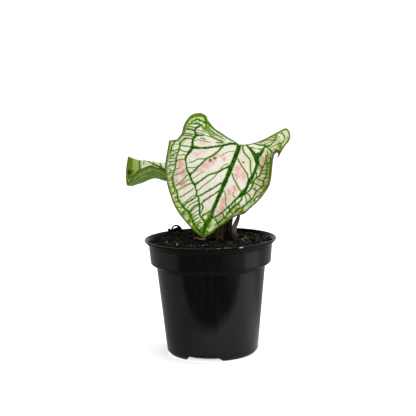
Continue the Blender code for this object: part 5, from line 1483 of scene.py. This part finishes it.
def make_slivers(random):
    """Straw slivers and pale specks, with one sliver that stands and a few crumbs beside it."""
    rows = [(*STANDING_SLIVER, 1, STANDING_SLIVER_SHAPE, 1.0, 0)]
    for _ in range(SLIVERS):
        x, y = random_place(random, SLIVER_INSET)
        shape = (random.uniform(*SLIVER_LENGTHS), *SLIVER_SECTION)
        rows.append((x, y, 1, shape, random.uniform(0, 1) ** 2, random.uniform(-1, 0.5)))
    rows += [(x, y, 1, PALE_CRUMB_SHAPE, 1.0, 0) for x, y in PALE_CRUMBS]
    for _ in range(SPECKS):
        x, y = random_place(random, SPECK_INSET)
        rows.append((x, y, random.uniform(*SPECK_SIZES), SPECK_SHAPE, random.uniform(0.75, 1), 0.2))
    skin = grain_shader("Straw slivers", dark=(44, 33, 22), lighter=((0.1, 0.95, (206, 192, 150)),),
                        fleck=(70, 54, 34), fleck_grain=(0.6, 3), fleck_fade=(0.5, 0.7, 0, 0.4),
                        rough_grain=0.7, rough=(0.5, 0.8), relief=(0.3, 3, 0.15, 0.6), shine=0.35)
    scatter("straw_slivers", rows, skin, random, tilt=0.18, ruggedness=0.25)


def rounded(profile):
    """The profile with its corners rounded as far as their shorter side allows."""
    out = []
    for k, corner in enumerate(profile):
        here = np.array(corner)
        if corner[0] <= 0:
            out.append(tuple(here))
            continue
        before, after = (np.array(profile[(k + s) % len(profile)]) - here for s in (-1, 1))
        long_before, long_after = np.linalg.norm(before), np.linalg.norm(after)
        reach = min(CORNER_ROUNDING, CORNER_SHARE * long_before, CORNER_SHARE * long_after)
        start = here + before / long_before * reach
        end = here + after / long_after * reach
        for t in np.linspace(0, 1, CORNER_POINTS):
            out.append(tuple((1 - t) ** 2 * start + 2 * t * (1 - t) * here + t * t * end))
    return out


def pot_profile():
    """The pot's closed section: down the outside, across the raised floor, and up the inside."""
    outer = [
        (LIP_RADIUS - 0.3 * MM, POT_HEIGHT),
        (LIP_RADIUS, POT_HEIGHT - LIP_EDGE),
        (COLLAR_TOP_RADIUS + 1.2 * MM, COLLAR_TOP_Z + 0.9 * MM),
        (COLLAR_TOP_RADIUS, COLLAR_TOP_Z - 0.6 * MM),
        (COLLAR_FOOT_RADIUS, COLLAR_FOOT_Z),
        (COLLAR_FOOT_RADIUS - 0.5 * MM, COLLAR_FOOT_Z - 0.6 * MM),
        (BODY_TOP_RADIUS + 0.4 * MM, SHOULDER_Z + 0.2 * MM),
        (BODY_TOP_RADIUS, SHOULDER_Z - 0.4 * MM),
        (BODY_FOOT_RADIUS, FOOT_ROUNDING),
        (BODY_FOOT_RADIUS - FOOT_ROUNDING, 0),
    ]
    ring_inside = BODY_FOOT_RADIUS - FOOT_ROUNDING - FOOT_RING
    under = [
        (ring_inside, 0),
        (ring_inside - 0.3 * MM, FLOOR_UNDERSIDE_Z),
        (CENTRE_PAD_RADIUS + CENTRE_PAD_SLOPE, FLOOR_UNDERSIDE_Z),
        (CENTRE_PAD_RADIUS, 0),
        (0, 0),
        (0, WALL),
        (CENTRE_PAD_RADIUS - WALL / 2, WALL),
        (CENTRE_PAD_RADIUS + CENTRE_PAD_SLOPE - WALL / 2, FLOOR_UNDERSIDE_Z + WALL),
    ]
    return outer + under + inner_profile(WALL) + [(LIP_RADIUS - 1.6 * MM, POT_HEIGHT)]


def loose_object(name, bm):
    """An object made of this mesh, which is in the scene only while the pot is made."""
    mesh = bpy.data.meshes.new(name)
    bm.to_mesh(mesh)
    bm.free()
    thing = bpy.data.objects.new(name, mesh)
    bpy.context.scene.collection.objects.link(thing)
    return thing


def notch_cutter():
    """Blocks that narrow upwards, for the notches in the foot ring."""
    bm = bmesh.new()
    for k in range(NOTCH_COUNT):
        turn = math.radians(NOTCH_FIRST_DEG + 360 * k / NOTCH_COUNT)
        made = bmesh.ops.create_cube(bm, size=1)["verts"]
        for v in made:
            v.co.x *= NOTCH_WIDTH_HIGH if v.co.z > 0 else NOTCH_WIDTH_LOW
            v.co.y = -BODY_FOOT_RADIUS - NOTCH_OVERSHOOT + (v.co.y + 0.5) * NOTCH_DEPTH
            v.co.z = NOTCH_HEIGHT if v.co.z > 0 else -GAP
        bmesh.ops.rotate(bm, verts=made, matrix=Matrix.Rotation(turn, 3, "Z"))
    upper_edges = [e for e in bm.edges if all(v.co.z > 0 for v in e.verts) or
                   abs(e.verts[0].co.z - e.verts[1].co.z) > MM]
    bmesh.ops.bevel(bm, geom=upper_edges, offset=NOTCH_ROUNDING, segments=3, affect="EDGES", profile=0.5)
    return loose_object("notches", bm)


def drain_cutter():
    """Round bars for the drain holes."""
    bm = bmesh.new()
    for k in range(DRAIN_COUNT):
        across, back = on_circle(DRAIN_CIRCLE, 2 * math.pi * (k + 0.5) / DRAIN_COUNT)
        place = Matrix.Translation((across, back, FLOOR_UNDERSIDE_Z + WALL / 2))
        bmesh.ops.create_cone(bm, cap_ends=True, segments=DRAIN_SIDES, radius1=DRAIN_RADIUS,
                              radius2=DRAIN_RADIUS, depth=4 * WALL, matrix=place)
    return loose_object("drains", bm)


def plastic_shader():
    """Moulded black plastic: fine grain, faint streaks, scuffs and dust, with painted highlights on the lip's
    top, painted shade over the lip and a painted glint on its edge.
    """
    s = Shader("Black nursery plastic", (9, 10, 9))
    height = s.axes()[2]
    streaks = s.grain(3, 4, 0.6, (1, 1, 0.08))
    scuffs = s.fade(s.grain(1.6, 6, 0.75, (0.35, 0.35, 1)), 0.62, 0.78)
    dust = s.times(s.fade(s.grain(0.8, 5, 0.75), 0.6, 0.74), s.fade(height, *LIP_DUSTY))
    low_dust = s.times(s.fade(s.grain(1.1, 5, 0.75), 0.66, 0.8), s.fade(height, *FOOT_DUSTY))
    painted_highlights = s.times(s.fade(s.grain(4, 4, 0.7), 0.52, 0.68), s.fade(height, *LIP_PAINTED_HIGHLIGHTS))
    from_painted_glint = s.vector("DISTANCE", s.place, LIP_PAINTED_GLINT).outputs["Value"]
    painted_glint = s.times(s.fade(from_painted_glint, *PAINTED_GLINT_REACH), s.fade(height, *PAINTED_GLINT_HEIGHTS))
    s.lay(s.fade(streaks, 0.35, 0.7), (14, 16, 15))
    s.lay(s.times(scuffs, 0.5), (44, 46, 44))
    s.lay(s.times(dust, 0.6), (96, 84, 62))
    s.lay(s.times(low_dust, 0.5), (80, 74, 60))
    # Painted highlights: pale patches on the lip's top
    s.lay(s.times(painted_highlights, 0.5), (118, 120, 112))
    # Painted shade: the lip darkened towards black
    s.lay(s.fade(height, *LIP_PAINTED_SHADE, 0, 0.7), (2, 2, 2))
    # Painted glint: a pale patch on the lip's edge stands in for a highlight
    s.lay(s.times(painted_glint, s.fade(s.grain(0.9), 0.35, 0.6)), (186, 190, 182))
    dull_chamfer = s.times(s.fade(height, *CHAMFER_DULL_FROM_BELOW), s.fade(height, *CHAMFER_DULL_FROM_ABOVE))
    dull = s.math("MAXIMUM", s.fade(height, *LIP_DULL), dull_chamfer)
    rough = s.times(scuffs, 0.15, s.times(s.grain(9, 4), 0.08, 0.1))
    relief = s.bump(streaks, 0.12, 0.25, s.bump(s.grain(0.35, 3), 0.02, 0.35))
    return s.made(relief, Roughness=rough, IOR=1.3, Specular_IOR_Level=s.fade(dull, 0, 1, 0.5, 0.07))


def make_pot():
    """The moulded pot with rounded edges, notches through its foot ring and drain holes."""
    cutters = [notch_cutter(), drain_cutter()]
    bm = bmesh.new()
    points = [bm.verts.new((r, 0, z)) for r, z in rounded(pot_profile())]
    for a, b in zip(points, points[1:] + points[:1]):
        if a.co.x > 0 or b.co.x > 0:
            bm.edges.new((a, b))
    pot = loose_object("pot_shell", bm)
    screw = pot.modifiers.new("Turn", "SCREW")
    screw.axis = "Z"
    screw.steps = screw.render_steps = POT_STEPS
    screw.use_merge_vertices = True
    screw.merge_threshold = 0.01 * MM
    screw.use_normal_calculate = False
    for thing in cutters:
        modifier = pot.modifiers.new("Cut", "BOOLEAN")
        modifier.operation = "DIFFERENCE"
        modifier.solver = "EXACT"
        modifier.object = thing
    graph = bpy.context.evaluated_depsgraph_get()
    graph.update()
    turned = bpy.data.meshes.new_from_object(pot.evaluated_get(graph))
    for thing in cutters + [pot]:
        bpy.data.objects.remove(thing)
    turned.name = "pot_shell"
    turned.shade_smooth()
    turned.set_sharp_from_angle(angle=math.radians(SHARP_FROM_DEG))
    turned.materials.clear()
    turned.materials.append(plastic_shader())
    settle(bpy.data.objects.new("pot_shell", turned), "pot_plastic", "pot")


def finish_tuber():
    """The hidden tuber keeps its solid and gets a corky skin."""
    s = Shader("Tuber skin", (96, 66, 42))
    s.lay(s.fade(s.grain(3, 4, 0.6, (0.4, 0.4, 1.6)), 0.4, 0.6), (132, 98, 66))
    s.lay(s.fade(s.grain(1, 4), 0.6, 0.75), (60, 40, 26))
    rough = s.fade(s.grain(2), 0.3, 0.7, 0.7, 0.92)
    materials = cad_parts["tuber"].data.materials
    materials.clear()
    materials.append(s.made(s.bump(s.grain(1.2, 5), 0.6, 0.8), Roughness=rough))


def disc(name, radius, height, material):
    """A round sheet of this material."""
    bpy.ops.mesh.primitive_circle_add(vertices=DISC_SIDES, radius=radius, fill_type="NGON",
                                      location=(0, 0, height))
    sheet = bpy.context.object
    sheet.name = name
    sheet.data.materials.append(material)
    return sheet


def make_floor():
    """A wide white floor that glows a little all over, and more under the pot's foot ring as painted light
    that lifts the shade there. Reflections show a toned card in its place.
    """
    s = Shader("White floor", (244, 245, 244))
    s.lay(s.fade(s.grain(60, 3), 0.3, 0.7), (248, 248, 247))
    from_axis = s.vector("LENGTH", s.place).outputs["Value"]
    # Painted light: the floor's glow is strongest under the pot's foot ring, where shade would fall
    glow = s.times(s.fade(from_axis, *GLOW_GROWS, 0, GLOW_UNDER),
                   s.fade(from_axis, *GLOW_FALLS, 1, GLOW_AROUND))
    floor = disc("floor", FLOOR_RADIUS, 0, s.made(
        Roughness=0.9, Specular_IOR_Level=0.1, Emission_Color=(255, 255, 255), Emission_Strength=glow))
    floor.visible_glossy = False


def make_card():
    """The surroundings that the pot's shine shows: dark in front, dim behind and at the left."""
    s = Shader("Reflected card", (246, 246, 246))
    across, back, _ = s.axes()
    aside = s.math("MAXIMUM", s.math("SUBTRACT", s.math("ABSOLUTE", across), CARD_DARK_WIDTH), 0.0)
    dark = s.mix(s.fade(s.grain(40, 3), 0.3, 0.7), (12, 12, 12), (20, 20, 20))
    dark = s.mix(s.fade(across, *CARD_LIGHT_RIGHT), dark, (170, 170, 170))
    s.lay(s.fade(across, *CARD_DIM_LEFT), (166, 172, 166))
    s.lay(s.fade(back, *CARD_DIM_BACK), (146, 148, 146))
    s.lay(s.fade(s.times(aside, CARD_DARK_SLANT, back), *CARD_DARK_FRONT), dark)
    card = disc("reflected card", CARD_RADIUS, CARD_LIFT, s.made(Roughness=0.95, Specular_IOR_Level=0.0))
    card.visible_camera = card.visible_diffuse = card.visible_shadow = False
    card.visible_transmission = False


def make_light():
    """White surroundings and soft square lamps."""
    world = bpy.data.worlds.new("Studio")
    world.use_nodes = True
    background = world.node_tree.nodes["Background"].inputs
    background["Color"].default_value = (1, 1, 1, 1)
    background["Strength"].default_value = 1.0
    bpy.context.scene.world = world
    for name, place, aim, size, power in LAMPS:
        data = bpy.data.lights.new(name, "AREA")
        data.shape = "SQUARE"
        data.size = size
        data.energy = power
        lamp = bpy.data.objects.new(name, data)
        lamp.location = place
        lamp.rotation_euler = (Vector(aim) - Vector(place)).to_track_quat("-Z", "Y").to_euler()
        bpy.context.scene.collection.objects.link(lamp)


def make_camera():
    """The photograph's camera."""
    right, up, forward = view_axes()
    data = bpy.data.cameras.new("Camera")
    data.sensor_width = SENSOR
    data.lens = LENS
    data.clip_start = CLIP_NEAR
    data.clip_end = CLIP_FAR
    camera = bpy.data.objects.new("Camera", data)
    axes = Matrix((right, up, -forward)).transposed().to_4x4()
    camera.matrix_world = Matrix.Translation(VIEW_AIM - VIEW_DISTANCE * forward) @ axes
    bpy.context.scene.collection.objects.link(camera)
    bpy.context.scene.camera = camera


make_camera()
make_light()
make_floor()
make_card()
bpy.context.scene.view_settings.view_transform = "Standard"
bpy.context.scene.view_settings.look = "None"
front_blade, back_blade = make_leaves()
make_stems(front_blade, back_blade)
make_soil()
grain_random = np.random.default_rng(GRAIN_SEED)
make_clods(grain_random)
make_chips(grain_random)
make_slivers(grain_random)
make_pot()
finish_tuber()
